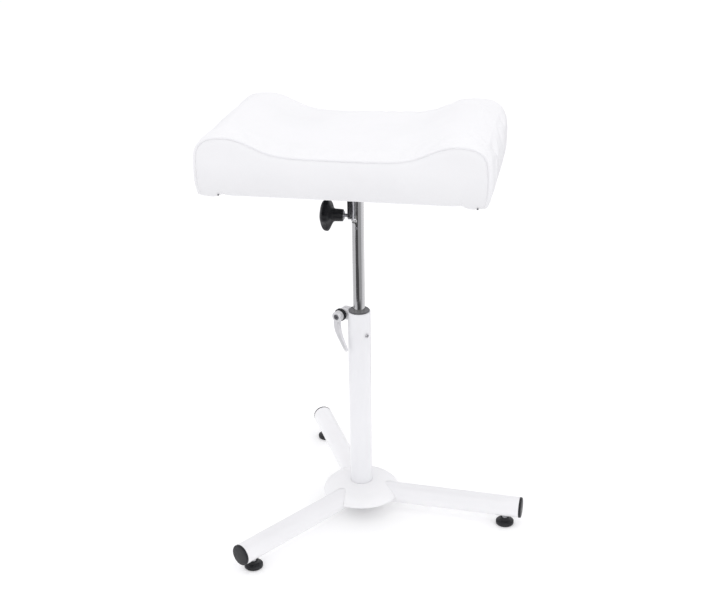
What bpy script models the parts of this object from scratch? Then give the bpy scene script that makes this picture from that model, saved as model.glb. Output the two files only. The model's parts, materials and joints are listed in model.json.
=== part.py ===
# Pedicure footrest: three-legged base, clamped telescopic column, tilting saddle cushion.
# Metres, +Z up, the cushion's long side along X, the clamp lever towards -X and -Y.
# Heights are above the floor that the three glides stand on.

import math

import bmesh
import bpy
from mathutils import Vector

# Shared clearances
SEAT_GAP = 0.0003
RUNNING_GAP = 0.00009
MERGE = 0.00001
OVERRUN = 0.004
ROUND_STEPS = 32
MEDIUM_STEPS = 24
SMALL_STEPS = 16

# Legs
LEG_AZIMUTHS = (math.radians(356.53), math.radians(116.53), math.radians(236.53))
LEG_RADIUS = 0.0165
LEG_WALL = 0.0015
LEG_HEIGHT = 0.0323
LEG_REACH = 0.2605
LEG_START = 0.0240
CAP_FLANGE = 0.0042
CAP_ROUND = 0.0016
CAP_SPIGOT = 0.0115
CAP_WALL = 0.0025
CAP_RIB = 0.0008

# Levelling glides
GLIDE_INSET = 0.0225
GLIDE_REACH = LEG_REACH - GLIDE_INSET
PAD_RADIUS = 0.0145
PAD_RIM = 0.0060
PAD_ROUND = 0.0012
PAD_NECK_RADIUS = 0.0070
PAD_NECK_TOP = 0.0120
PAD_SOCKET_RADIUS = 0.00509
PAD_SOCKET_FLOOR = 0.0032
STUD_FLANGE_RADIUS = 0.0050
STUD_RADIUS = 0.0040
STUD_FLANGE_TOP = 0.0085
STUD_TOP = 0.0350
STUD_HOLE = 0.0044
GLIDE_NUT_FLATS = 0.013
GLIDE_NUT_HEIGHT = 0.0065

# Hub
BOSS_RADIUS = 0.0310
BOSS_BOTTOM = 0.0105
BOSS_TOP = 0.0482
BOSS_EDGE = 0.0012
BOSS_FLOOR = 0.0195
COVER_OUTER = (
    (0.0178, 0.0506),
    (0.0350, 0.0503),
    (0.0405, 0.0489),
    (0.0490, 0.0460),
    (0.0550, 0.0427),
    (0.0600, 0.0382),
    (0.0625, 0.0320),
)
COVER_INNER = (
    (0.0607, 0.0320),
    (0.0584, 0.0372),
    (0.0540, 0.0411),
    (0.0482, 0.0443),
    (0.0400, 0.0471),
    (0.0346, 0.0485),
    (0.0178, 0.0488),
)

# Column
COLUMN_RADIUS = 0.0175
COLUMN_WALL = 0.0015
COLUMN_BOTTOM = 0.0198
COLUMN_TOP = 0.3515
COLUMN_EDGE = 0.0003
PLUG_THICK = 0.012
BASE_BOLT_RADIUS = 0.0040
BASE_BOLT_HOLE = 0.0044
BASE_BOLT_LENGTH = 0.014
BASE_HEAD_RADIUS = 0.0065
BASE_HEAD_HEIGHT = 0.0045
BASE_RECESS_RADIUS = 0.0075
BASE_RECESS_DEPTH = 0.0055
BASE_HEX = 0.0030
SLIT_AZIMUTH = math.radians(158.0)
SLIT_WIDTH = 0.0025
SLIT_LENGTH = 0.0320
SLIT_BOTTOM = COLUMN_TOP - SLIT_LENGTH
RELIEF_RADIUS = 0.0025

# Bush and its screw
BUSH_RADIUS = 0.0157
BUSH_FLANGE_RADIUS = 0.0164
BUSH_FLANGE = 0.0016
BUSH_LENGTH = 0.0485
BUSH_BOTTOM = COLUMN_TOP - BUSH_LENGTH
BUSH_EDGE = 0.0006
BUSH_SCREW_AZIMUTH = math.radians(321.0)
BUSH_SCREW_DROP = 0.0368
BUSH_SCREW_HEIGHT = COLUMN_TOP - BUSH_SCREW_DROP
BUSH_SCREW_RADIUS = 0.0025
BUSH_SCREW_HOLE = 0.0028
BUSH_SCREW_HEAD = 0.0033
BUSH_SCREW_HEAD_THICK = 0.0018
BUSH_SCREW_TIP = 0.0118
BUSH_SCREW_SOCKET = 0.0015

# Clamp ears, nut and lever
EAR_REACH = 0.0270
EAR_DROP = 0.0085
EAR_HEIGHT = COLUMN_TOP - EAR_DROP
EAR_ROUND = 0.0085
EAR_INNER = 0.00125
EAR_THICK = 0.0062
EAR_EDGE = 0.0008
CLAMP_ROD = 0.0030
CLAMP_ROD_HOLE = 0.0033
CLAMP_NUT_FLATS = 0.010
CLAMP_NUT_THICK = 0.0052
COLLAR_RADIUS = 0.0100
COLLAR_NECK_RADIUS = 0.0082
COLLAR_NECK = 0.0024
COLLAR_THICK = 0.0068
COLLAR_EDGE = 0.0010
SPLINE_RADIUS = 0.0043
SPLINE_LENGTH = 0.0026
HEAD_RADIUS = 0.0083
HEAD_THICK = 0.0088
HEAD_EDGE = 0.0012
HEAD_BORE = 0.00439
HEAD_WEB = 0.0010
HEAD_WEB_BORE = 0.0020
HEAD_UPPER_BORE = 0.0045
ARM_ROOT_SHARE = 0.62
ARM_ANGLE = math.radians(19.0)
ARM_LENGTH = 0.0570
ARM_WIDTH_SHARES = (1.00, 0.96, 0.84, 0.68, 0.56, 0.50, 0.47, 0.30)
ARM_PLACE_SHARES = (0.00, 0.16, 0.34, 0.52, 0.72, 0.88, 0.96, 1.00)
ARM_THICK_SHARES = (1.00, 1.00, 0.92, 0.82, 0.76, 0.72, 0.68, 0.40)
ARM_RISE_SHARES = (0.00, 0.14, 0.55, 0.85, 1.00, 1.00, 0.97, 0.94)
ARM_SWAY_SHARES = (0.45, 1.00, 0.95, 0.70, 0.30, 0.10, 0.00, 0.00)
ARM_WIDTH = 0.0132
ARM_THICK = 0.0074
ARM_RISE = 0.0050
ARM_SWAY = 0.0055
ARM_SIDES = 12
ARM_ROUND_SHARE = 0.75
LEVER_SCREW_RADIUS = 0.0015
LEVER_SCREW_HEAD = 0.0042
LEVER_SCREW_HEAD_THICK = 0.0020
LEVER_SCREW_LENGTH = 0.0080
LEVER_SCREW_SOCKET = 0.0014

# Post and its lower bush
POST_RADIUS = 0.0090
POST_WALL = 0.0015
POST_BOTTOM = 0.1850
POST_TOP = 0.5340
POST_FOOT_FLOOR = 0.0030
POST_FOOT_HEIGHT = 0.0250
POST_FOOT_OPENING = 0.0060

# Tilt joint
TILT_DROP = 0.0275
TILT_HEIGHT = POST_TOP - TILT_DROP
PIN_RADIUS = 0.00225
PIN_DROP = 0.0436
PIN_HEIGHT = POST_TOP - PIN_DROP
BLOCK_RADIUS = 0.0072
BLOCK_BELOW_PIN = 0.0060
BLOCK_BOTTOM = PIN_HEIGHT - BLOCK_BELOW_PIN
BLOCK_CAP_RADIUS = 0.0090
BLOCK_CAP_RISE = 0.0042
BLOCK_CAP_TOP = POST_TOP + BLOCK_CAP_RISE
BLOCK_CAP_SHARES = (0.45, 0.85)
PIN_HOLE = 0.0025
PIN_LENGTH = 0.0184
HALF_FACE_X = 0.0006
TONGUE_FACE_X = HALF_FACE_X - 0.0016
TONGUE_ROUND = 0.0085
TONGUE_ROOM = 0.0007
NYLON_INNER_X = SEAT_GAP - HALF_FACE_X
NYLON_THICK = 0.0010
NYLON_RADIUS = 0.0060
EAR_PLATE_INNER_X = 0.0107
EAR_PLATE_THICK = 0.0040
EAR_PLATE_ROUND = 0.0058
EAR_PLATE_HALF_TOP = 0.0180
EAR_PLATE_SHOULDER = 0.0420
TILT_PLATE_RISE = 0.0689
TILT_PLATE_TOP = TILT_HEIGHT + TILT_PLATE_RISE
TILT_PLATE_THICK = 0.0040
TILT_PLATE_HALF_X = 0.0600
TILT_PLATE_HALF_Y = 0.0500
TILT_PLATE_CORNER = 0.0100
GUSSET_THICK = 0.0030
GUSSET_LEG = 0.0260
PLATE_SCREW_X = 0.0480
PLATE_SCREW_Y = 0.0380
PLATE_SCREW_RADIUS = 0.0025
PLATE_SCREW_HOLE = 0.0028
PLATE_SCREW_HEAD = 0.0048
PLATE_SCREW_HEAD_THICK = 0.0026
PLATE_SCREW_HEAD_SHARES = (0.9, 0.6)
PLATE_SCREW_REACH = 0.0110

# Star knob
KNOB_STUD_RADIUS = 0.0030
KNOB_STUD_END_X = 0.0024
KNOB_NEAR_X = -0.0220
KNOB_HEAD_RADIUS = 0.0225
KNOB_LOBE = 0.0018
KNOB_LOBES = 5
KNOB_HEAD_FAR = 0.0350
KNOB_SOCKET_DEPTH = 0.0180
KNOB_WASHER_RADIUS = 0.0062
KNOB_WASHER_THICK = 0.0012
KNOB_RADIUS_SHARES = (0.37, 0.41, 0.43, 0.68, 0.95, 1.00, 1.00, 0.92, 0.70, 0.25)
KNOB_PLACE_SHARES = (0.00, 0.02, 0.41, 0.49, 0.56, 0.64, 0.76, 0.88, 0.96, 1.00)
KNOB_LOBE_SHARES = (0.00, 0.00, 0.10, 0.55, 1.00, 1.00, 1.00, 0.85, 0.50, 0.05)

# Cushion
CUSHION_FORWARD = 0.0010
CUSHION_HALF_X = 0.2060
CUSHION_HALF_Y = 0.1275
CUSHION_WRAP = 0.0004
CUSHION_BOTTOM = TILT_PLATE_TOP - CUSHION_WRAP
CUSHION_HEIGHT = 0.0810
CUSHION_CROWN = 0.0040
CROWN_SIDE_SHARE = 0.25
FACE_SWELL_SHARE = 0.60
CORNER_STRETCH_SHARE = 1.60
COVER_THICK = 0.0014
FOAM_GAP = 0.0004
BOARD_THICK = 0.0120
BOARD_INSET = 0.0160
BOARD_CORNER = 0.0120
DUST_THICK = 0.0008
DUST_BOTTOM = TILT_PLATE_TOP + SEAT_GAP
BOARD_BOTTOM = DUST_BOTTOM + DUST_THICK + SEAT_GAP
PIPING_RADIUS = 0.0024
PIPING_SIDES = 3
PIPING_GAP = 0.0004
CHAMFER = 0.0050
# Each row: place along the half length, height of the top there
TOP_SHARES = (
    (0.000, 0.700),
    (0.240, 0.702),
    (0.400, 0.722),
    (0.490, 0.768),
    (0.580, 0.855),
    (0.670, 0.948),
    (0.765, 0.995),
    (0.850, 0.988),
    (0.912, 0.946),
    (0.965, 0.860),
)
# Each row: height up the end, width of the cushion there
SIDE_SHARES = (
    (0.00, 0.945),
    (0.14, 0.978),
    (0.38, 0.999),
    (0.66, 1.001),
    (0.86, 0.992),
    (1.00, 0.965),
)
# Each row: place along the half depth, share of the crown there
DEPTH_SHARES = ((0.00, 1.00), (0.40, 0.94), (0.72, 0.74), (0.89, 0.40))


for old in list(bpy.data.objects):
    bpy.data.objects.remove(old, do_unlink=True)


def new_collection(name, hidden):
    collection = bpy.data.collections.new(name)
    collection.hide_render = hidden
    bpy.context.scene.collection.children.link(collection)
    return collection


PARTS = new_collection("pedicure_footrest", False)
CUTTERS = new_collection("cutters", True)

# Finishes: colour, metallic, roughness
WHITE_COAT = ((0.86, 0.85, 0.87), 0.0, 0.35)
CHROME = ((0.80, 0.80, 0.82), 1.0, 0.08)
STEEL = ((0.56, 0.56, 0.58), 1.0, 0.35)
BLACK_PLASTIC = ((0.02, 0.02, 0.022), 0.0, 0.35)
GREY_PLASTIC = ((0.05, 0.05, 0.055), 0.0, 0.45)
NYLON = ((0.80, 0.80, 0.76), 0.0, 0.5)
LEATHER = ((0.88, 0.88, 0.90), 0.0, 0.45)
FOAM = ((0.85, 0.80, 0.55), 0.0, 0.95)
PLYWOOD = ((0.62, 0.45, 0.27), 0.0, 0.7)
CLOTH = ((0.03, 0.03, 0.03), 0.0, 0.95)


def give_finish(obj, finish):
    colour, metallic, roughness = finish
    made = bpy.data.materials.new(obj.name + "_finish")
    made.use_nodes = True
    shader = made.node_tree.nodes["Principled BSDF"]
    shader.inputs["Base Color"].default_value = (*colour, 1.0)
    shader.inputs["Metallic"].default_value = metallic
    shader.inputs["Roughness"].default_value = roughness
    obj.data.materials.clear()
    obj.data.materials.append(made)


def put(obj, collection, parent, location, rotation):
    collection.objects.link(obj)
    obj.parent = parent
    obj.location = location
    obj.rotation_euler = rotation
    if collection is CUTTERS:
        obj.hide_render = True
        obj.display_type = "WIRE"
    return obj


def joint_empty(name, parent, location=(0, 0, 0), rotation=(0, 0, 0)):
    obj = bpy.data.objects.new(name, None)
    obj.empty_display_size = LEG_RADIUS
    return put(obj, PARTS, parent, location, rotation)


def piece(name, mesh, parent, finish, location=(0, 0, 0), rotation=(0, 0, 0)):
    obj = put(bpy.data.objects.new(name, mesh), PARTS, parent, location, rotation)
    give_finish(obj, finish)
    return obj


def cutter(name, mesh, parent, location=(0, 0, 0), rotation=(0, 0, 0)):
    return put(bpy.data.objects.new(name, mesh), CUTTERS, parent, location, rotation)


def edge_mesh(name, points, ring):
    mesh = bpy.data.meshes.new(name)
    edges = [(i, i + 1) for i in range(len(points) - 1)]
    if ring:
        edges.append((len(points) - 1, 0))
    mesh.from_pydata([(x, 0, z) for x, z in points], edges, [])
    return mesh


def turn(obj, steps):
    screw = obj.modifiers.new("turned", "SCREW")
    screw.axis = "Z"
    screw.steps = steps
    screw.render_steps = steps
    screw.use_merge_vertices = True
    screw.merge_threshold = MERGE
    screw.use_smooth_shade = True


def turned(name, points, parent, finish, location=(0, 0, 0), rotation=(0, 0, 0), steps=ROUND_STEPS, ring=False):
    obj = piece(name, edge_mesh(name, points, ring), parent, finish, location, rotation)
    turn(obj, steps)
    return obj


def turned_cutter(name, points, parent, location=(0, 0, 0), rotation=(0, 0, 0), steps=ROUND_STEPS):
    obj = cutter(name, edge_mesh(name, points, False), parent, location, rotation)
    turn(obj, steps)
    return obj


def solid_rod(radius, low, high, edge=0.0):
    if edge > 0:
        return [(0, high), (radius - edge, high), (radius, high - edge),
                (radius, low + edge), (radius - edge, low), (0, low)]
    return [(0, high), (radius, high), (radius, low), (0, low)]


def pipe(radius, bore, low, high, edge=0.0):
    if edge > 0:
        return [(radius - edge, high), (radius, high - edge), (radius, low + edge),
                (radius - edge, low), (bore, low), (bore, high)]
    return [(radius, high), (radius, low), (bore, low), (bore, high)]


def cut(obj, tool):
    boolean = obj.modifiers.new("cut " + tool.name, "BOOLEAN")
    boolean.operation = "DIFFERENCE"
    boolean.solver = "EXACT"
    boolean.object = tool


def join_solid(obj, tool):
    boolean = obj.modifiers.new("join " + tool.name, "BOOLEAN")
    boolean.operation = "UNION"
    boolean.solver = "EXACT"
    boolean.object = tool


def soften(obj, width, segments=2):
    bevel = obj.modifiers.new("edges", "BEVEL")
    bevel.width = width
    bevel.segments = segments
    bevel.limit_method = "ANGLE"
    bevel.angle_limit = math.radians(50)
    bevel.use_clamp_overlap = True


def flat_mesh(name, outline):
    mesh = bpy.data.meshes.new(name)
    mesh.from_pydata([(x, y, 0) for x, y in outline], [], [list(range(len(outline)))])
    return mesh


def thicken(obj, thickness):
    solidify = obj.modifiers.new("thickness", "SOLIDIFY")
    solidify.thickness = thickness
    solidify.offset = 1.0


def box_mesh(name, size_x, size_y, size_z):
    mesh = bpy.data.meshes.new(name)
    half_x = size_x / 2
    half_y = size_y / 2
    half_z = size_z / 2
    corners = [(x, y, z) for z in (-half_z, half_z) for y in (-half_y, half_y) for x in (-half_x, half_x)]
    faces = [(0, 2, 3, 1), (4, 5, 7, 6), (0, 1, 5, 4), (2, 6, 7, 3), (0, 4, 6, 2), (1, 3, 7, 5)]
    mesh.from_pydata(corners, [], faces)
    return mesh


def rods_mesh(name, places, radius, low, high, steps):
    """Several upright round cutters in one mesh."""
    form = bmesh.new()
    for x, y in places:
        made = bmesh.ops.create_cone(
            form, cap_ends=True, segments=steps, radius1=radius, radius2=radius, depth=high - low)
        bmesh.ops.translate(form, verts=made["verts"], vec=(x, y, (low + high) / 2))
    mesh = bpy.data.meshes.new(name)
    form.to_mesh(mesh)
    form.free()
    return mesh


def arc(centre_x, centre_y, radius, start, end, count):
    step = (end - start) / count
    return [(centre_x + radius * math.cos(start + step * i), centre_y + radius * math.sin(start + step * i))
            for i in range(count + 1)]


def rounded_rectangle(half_x, half_y, corner, count=3):
    points = []
    for index, (sx, sy) in enumerate(((1, 1), (-1, 1), (-1, -1), (1, -1))):
        start = index * math.pi / 2
        points += arc(sx * (half_x - corner), sy * (half_y - corner), corner, start, start + math.pi / 2, count)
    return points


def hexagon(flats):
    corner = flats / math.sqrt(3)
    return [(corner * math.cos(math.radians(60 * i)), corner * math.sin(math.radians(60 * i))) for i in range(6)]


def smooth(mesh):
    mesh.polygons.foreach_set("use_smooth", [True] * len(mesh.polygons))


ROOT = joint_empty("footrest", None)


def across(azimuth):
    """Turns local Z outwards along this azimuth, with local X pointing down."""
    return (0, math.pi / 2, azimuth)


# Hub: a turned boss that the legs butt against, under a pressed domed cover.
hub_boss = turned(
    "hub_boss",
    solid_rod(BOSS_RADIUS, BOSS_BOTTOM, BOSS_TOP, BOSS_EDGE), ROOT, STEEL)
cut(hub_boss, turned_cutter(
    "boss_socket", solid_rod(COLUMN_RADIUS + SEAT_GAP, BOSS_FLOOR, BOSS_TOP + OVERRUN), ROOT))
cut(hub_boss, turned_cutter(
    "boss_bolt_hole", solid_rod(BASE_BOLT_HOLE, BOSS_BOTTOM - OVERRUN, BOSS_FLOOR + OVERRUN), ROOT,
    steps=SMALL_STEPS))
cut(hub_boss, turned_cutter(
    "boss_recess",
    solid_rod(BASE_RECESS_RADIUS, BOSS_BOTTOM - OVERRUN, BOSS_BOTTOM + BASE_RECESS_DEPTH), ROOT,
    steps=SMALL_STEPS))

hub_cover = turned("hub_cover", list(COVER_OUTER) + list(COVER_INNER), ROOT, WHITE_COAT, ring=True)

COPE = turned_cutter(
    "cope", solid_rod(BOSS_RADIUS + SEAT_GAP, BOSS_BOTTOM - OVERRUN, BOSS_TOP + OVERRUN), ROOT)

for index, azimuth in enumerate(LEG_AZIMUTHS, start=1):
    leg = joint_empty(f"leg_{index}_line", ROOT, (0, 0, LEG_HEIGHT), across(azimuth))
    cut(hub_cover, turned_cutter(
        f"leg_notch_{index}",
        solid_rod(LEG_RADIUS + SEAT_GAP, LEG_START, LEG_REACH / 2), leg, steps=MEDIUM_STEPS))
    tube = turned(
        f"leg_tube_{index}",
        pipe(LEG_RADIUS, LEG_RADIUS - LEG_WALL, LEG_START, LEG_REACH), leg, WHITE_COAT,
        steps=MEDIUM_STEPS, ring=True)
    cut(tube, COPE)
    stand = joint_empty(
        f"glide_{index}_line", ROOT,
        (GLIDE_REACH * math.cos(azimuth), GLIDE_REACH * math.sin(azimuth), 0), (0, 0, azimuth))
    cut(tube, turned_cutter(
        f"stud_hole_{index}",
        solid_rod(STUD_HOLE, 0, LEG_HEIGHT - LEG_RADIUS / 2), stand, steps=SMALL_STEPS))

    # End cap: a rounded flange on a hollow spigot with two gripping ribs.
    bore = LEG_RADIUS - LEG_WALL
    spigot = bore - SEAT_GAP * 2
    flange_near = LEG_REACH + SEAT_GAP
    flange_far = flange_near + CAP_FLANGE
    turned(
        f"leg_cap_{index}",
        [(0, flange_far), (LEG_RADIUS - CAP_ROUND * 2, flange_far),
         (LEG_RADIUS - CAP_ROUND / 2, flange_far - CAP_ROUND / 3),
         (LEG_RADIUS, flange_far - CAP_ROUND), (LEG_RADIUS, flange_near), (spigot - CAP_RIB / 4, flange_near),
         (spigot, flange_near - CAP_SPIGOT / 2),
         (spigot - CAP_RIB, flange_near - CAP_SPIGOT), (spigot - CAP_WALL, flange_near - CAP_SPIGOT),
         (spigot - CAP_WALL, flange_near - CAP_FLANGE / 2), (0, flange_near - CAP_FLANGE / 2)],
        leg, BLACK_PLASTIC, steps=MEDIUM_STEPS)

    # Nut welded on the floor of the tube, over the stud hole.
    corner = GLIDE_NUT_FLATS / math.sqrt(3)
    nut_low = LEG_HEIGHT - math.sqrt(bore * bore - corner * corner) + SEAT_GAP
    nut = piece(
        f"leg_nut_{index}", flat_mesh("nut", hexagon(GLIDE_NUT_FLATS)), stand, STEEL, (0, 0, nut_low))
    thicken(nut, GLIDE_NUT_HEIGHT)
    cut(nut, turned_cutter(
        f"nut_bore_{index}", solid_rod(STUD_RADIUS + RUNNING_GAP, 0, LEG_HEIGHT + LEG_RADIUS), stand,
        steps=SMALL_STEPS))

    # Glide: the pad is pressed on the flanged foot of the stud, and both move up and down in the nut.
    pad_line = joint_empty(f"glide_{index}_slide", stand)
    turned(
        f"glide_pad_{index}",
        [(PAD_SOCKET_RADIUS, PAD_NECK_TOP), (PAD_NECK_RADIUS, PAD_NECK_TOP),
         (PAD_NECK_RADIUS + PAD_ROUND, PAD_RIM + PAD_ROUND), (PAD_RADIUS - PAD_ROUND, PAD_RIM),
         (PAD_RADIUS, PAD_RIM - PAD_ROUND), (PAD_RADIUS, PAD_ROUND), (PAD_RADIUS - PAD_ROUND, 0), (0, 0),
         (0, PAD_SOCKET_FLOOR), (PAD_SOCKET_RADIUS, PAD_SOCKET_FLOOR)],
        pad_line, BLACK_PLASTIC, steps=MEDIUM_STEPS, ring=True)
    stud_low = PAD_SOCKET_FLOOR + SEAT_GAP
    turned(
        f"glide_stud_{index}",
        [(0, STUD_TOP), (STUD_RADIUS - PAD_ROUND / 2, STUD_TOP), (STUD_RADIUS, STUD_TOP - PAD_ROUND / 2),
         (STUD_RADIUS, STUD_FLANGE_TOP), (STUD_FLANGE_RADIUS, STUD_FLANGE_TOP),
         (STUD_FLANGE_RADIUS, stud_low), (0, stud_low)],
        pad_line, STEEL, steps=SMALL_STEPS)

# Column: slit tube with two clamp ears, plugged at the foot and bolted through the boss.
column_tube = turned(
    "column_tube",
    pipe(COLUMN_RADIUS, COLUMN_RADIUS - COLUMN_WALL, COLUMN_BOTTOM, COLUMN_TOP, COLUMN_EDGE),
    ROOT, WHITE_COAT, ring=True)
slit_line = joint_empty("slit_line", ROOT, (0, 0, 0), (0, 0, SLIT_AZIMUTH))
slit_height = COLUMN_TOP + OVERRUN - SLIT_BOTTOM
SLIT = cutter(
    "slit", box_mesh("slit", COLUMN_RADIUS + OVERRUN, SLIT_WIDTH, slit_height), slit_line,
    ((COLUMN_RADIUS + OVERRUN) / 2, 0, SLIT_BOTTOM + slit_height / 2))
RELIEF = turned_cutter(
    "relief", solid_rod(RELIEF_RADIUS, COLUMN_RADIUS / 2, COLUMN_RADIUS + OVERRUN), slit_line,
    (0, 0, SLIT_BOTTOM), across(0), steps=SMALL_STEPS)
cut(column_tube, SLIT)
cut(column_tube, RELIEF)
screw_line = joint_empty("bush_screw_line", ROOT, (0, 0, BUSH_SCREW_HEIGHT), across(BUSH_SCREW_AZIMUTH))
SCREW_HOLE = turned_cutter(
    "bush_screw_hole", solid_rod(BUSH_SCREW_HOLE, BUSH_SCREW_TIP - SEAT_GAP, COLUMN_RADIUS + OVERRUN),
    screw_line, steps=SMALL_STEPS)
cut(column_tube, SCREW_HOLE)

plug_low = COLUMN_BOTTOM + SEAT_GAP
turned(
    "column_plug",
    pipe(COLUMN_RADIUS - COLUMN_WALL - SEAT_GAP, BASE_BOLT_RADIUS + RUNNING_GAP, plug_low, plug_low + PLUG_THICK),
    ROOT, STEEL, steps=MEDIUM_STEPS, ring=True)
bolt_top = BOSS_BOTTOM + BASE_RECESS_DEPTH - SEAT_GAP
base_bolt = turned(
    "base_bolt",
    [(0, bolt_top + BASE_BOLT_LENGTH), (BASE_BOLT_RADIUS, bolt_top + BASE_BOLT_LENGTH),
     (BASE_BOLT_RADIUS, bolt_top), (BASE_HEAD_RADIUS, bolt_top),
     (BASE_HEAD_RADIUS, bolt_top - BASE_HEAD_HEIGHT), (0, bolt_top - BASE_HEAD_HEIGHT)],
    ROOT, STEEL, steps=SMALL_STEPS)
cut(base_bolt, turned_cutter(
    "base_bolt_hex",
    solid_rod(BASE_HEX, bolt_top - BASE_HEAD_HEIGHT - OVERRUN, bolt_top - BASE_HEAD_HEIGHT / 2),
    ROOT, steps=6))

column_bush = turned(
    "column_bush",
    [(BUSH_FLANGE_RADIUS - BUSH_EDGE, COLUMN_TOP + SEAT_GAP + BUSH_FLANGE),
     (BUSH_FLANGE_RADIUS, COLUMN_TOP + SEAT_GAP + BUSH_FLANGE - BUSH_EDGE),
     (BUSH_FLANGE_RADIUS, COLUMN_TOP + SEAT_GAP), (BUSH_RADIUS, COLUMN_TOP + SEAT_GAP),
     (BUSH_RADIUS, BUSH_BOTTOM + BUSH_EDGE), (BUSH_RADIUS - BUSH_EDGE, BUSH_BOTTOM),
     (POST_RADIUS + RUNNING_GAP, BUSH_BOTTOM),
     (POST_RADIUS + RUNNING_GAP, COLUMN_TOP + SEAT_GAP + BUSH_FLANGE)],
    ROOT, GREY_PLASTIC, ring=True)
cut(column_bush, SLIT)
cut(column_bush, SCREW_HOLE)

head_near = COLUMN_RADIUS + SEAT_GAP
bush_screw = turned(
    "bush_screw",
    [(0, head_near + BUSH_SCREW_HEAD_THICK),
     (BUSH_SCREW_HEAD - BUSH_EDGE, head_near + BUSH_SCREW_HEAD_THICK),
     (BUSH_SCREW_HEAD, head_near + BUSH_SCREW_HEAD_THICK - BUSH_EDGE),
     (BUSH_SCREW_HEAD, head_near), (BUSH_SCREW_RADIUS, head_near), (BUSH_SCREW_RADIUS, BUSH_SCREW_TIP),
     (0, BUSH_SCREW_TIP)],
    screw_line, STEEL, steps=SMALL_STEPS)
cut(bush_screw, turned_cutter(
    "bush_screw_socket",
    solid_rod(BUSH_SCREW_SOCKET, head_near + BUSH_SCREW_HEAD_THICK / 4, head_near + OVERRUN), screw_line,
    steps=6))

# Clamp: the ears stand on the slit, the bolt runs across them towards the lever.
clamp_line = joint_empty(
    "clamp_line", slit_line, (EAR_REACH, 0, EAR_HEIGHT), (0, math.pi / 2, math.pi / 2))
EAR_HOLE = turned_cutter(
    "ear_hole", solid_rod(CLAMP_ROD_HOLE, -EAR_INNER - EAR_THICK - OVERRUN, EAR_INNER + EAR_THICK + OVERRUN),
    clamp_line, steps=SMALL_STEPS)
TUBE_SEAT = turned_cutter(
    "tube_seat", solid_rod(COLUMN_RADIUS + SEAT_GAP, SLIT_BOTTOM - OVERRUN, COLUMN_TOP + OVERRUN), ROOT)
# Local X of the clamp line points down and local Y points back to the column's axis.
for index, low in enumerate((-EAR_INNER - EAR_THICK, EAR_INNER), start=1):
    outline = arc(0, 0, EAR_ROUND, math.pi, 2 * math.pi, 14)
    outline += [(EAR_ROUND, EAR_REACH / 2), (-EAR_ROUND, EAR_REACH / 2)]
    ear = piece(f"clamp_ear_{index}", flat_mesh("ear", outline), clamp_line, WHITE_COAT, (0, 0, low))
    thicken(ear, EAR_THICK)
    soften(ear, EAR_EDGE)
    cut(ear, TUBE_SEAT)
    cut(ear, EAR_HOLE)

ear_out = EAR_INNER + EAR_THICK
clamp_nut = piece(
    "clamp_nut", flat_mesh("clamp_nut", hexagon(CLAMP_NUT_FLATS)), clamp_line, STEEL,
    (0, 0, -ear_out - SEAT_GAP - CLAMP_NUT_THICK))
thicken(clamp_nut, CLAMP_NUT_THICK)
cut(clamp_nut, turned_cutter(
    "clamp_nut_bore",
    solid_rod(CLAMP_ROD + RUNNING_GAP, -ear_out - CLAMP_NUT_THICK - OVERRUN, -ear_out + OVERRUN), clamp_line,
    steps=SMALL_STEPS))

lever_turn = joint_empty("lever_turn", clamp_line)
collar_low = ear_out + SEAT_GAP
collar_high = collar_low + COLLAR_THICK
spline_high = collar_high + SPLINE_LENGTH
rod_low = -ear_out - SEAT_GAP * 2 - CLAMP_NUT_THICK - CLAMP_ROD / 2
rod_high = collar_low + COLLAR_THICK / 2
turned("clamp_rod", solid_rod(CLAMP_ROD, rod_low, rod_high, SEAT_GAP), lever_turn, STEEL, steps=SMALL_STEPS)
turned(
    "lever_collar",
    [(SPLINE_RADIUS, spline_high), (SPLINE_RADIUS, collar_high), (COLLAR_RADIUS - COLLAR_EDGE, collar_high),
     (COLLAR_RADIUS, collar_high - COLLAR_EDGE), (COLLAR_RADIUS, collar_low + COLLAR_NECK),
     (COLLAR_NECK_RADIUS, collar_low), (CLAMP_ROD + SEAT_GAP, collar_low),
     (CLAMP_ROD + SEAT_GAP, rod_high + SEAT_GAP), (LEVER_SCREW_RADIUS + SEAT_GAP, rod_high + SEAT_GAP),
     (LEVER_SCREW_RADIUS + SEAT_GAP, spline_high)],
    lever_turn, BLACK_PLASTIC, steps=MEDIUM_STEPS, ring=True)

lever_lift = joint_empty("lever_lift", lever_turn, (0, 0, 0), (0, 0, ARM_ANGLE))
head_low = collar_high + SEAT_GAP
head_high = head_low + HEAD_THICK
web_low = spline_high + SEAT_GAP
lever_arm = turned(
    "lever_arm",
    [(HEAD_UPPER_BORE, head_high), (HEAD_RADIUS - HEAD_EDGE, head_high), (HEAD_RADIUS, head_high - HEAD_EDGE),
     (HEAD_RADIUS, head_low), (HEAD_BORE, head_low), (HEAD_BORE, web_low), (HEAD_WEB_BORE, web_low),
     (HEAD_WEB_BORE, web_low + HEAD_WEB), (HEAD_UPPER_BORE, web_low + HEAD_WEB)],
    lever_lift, CHROME, steps=MEDIUM_STEPS, ring=True)


def loft(name, rings):
    """A closed skin over rings of equal count, each ring a list of points."""
    count = len(rings[0])
    points = [point for ring in rings for point in ring]
    faces = [list(range(count))[::-1]]
    for level in range(len(rings) - 1):
        for i in range(count):
            j = (i + 1) % count
            faces.append((level * count + i, level * count + j, (level + 1) * count + j, (level + 1) * count + i))
    faces.append([(len(rings) - 1) * count + i for i in range(count)])
    mesh = bpy.data.meshes.new(name)
    mesh.from_pydata(points, [], faces)
    smooth(mesh)
    return mesh


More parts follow.
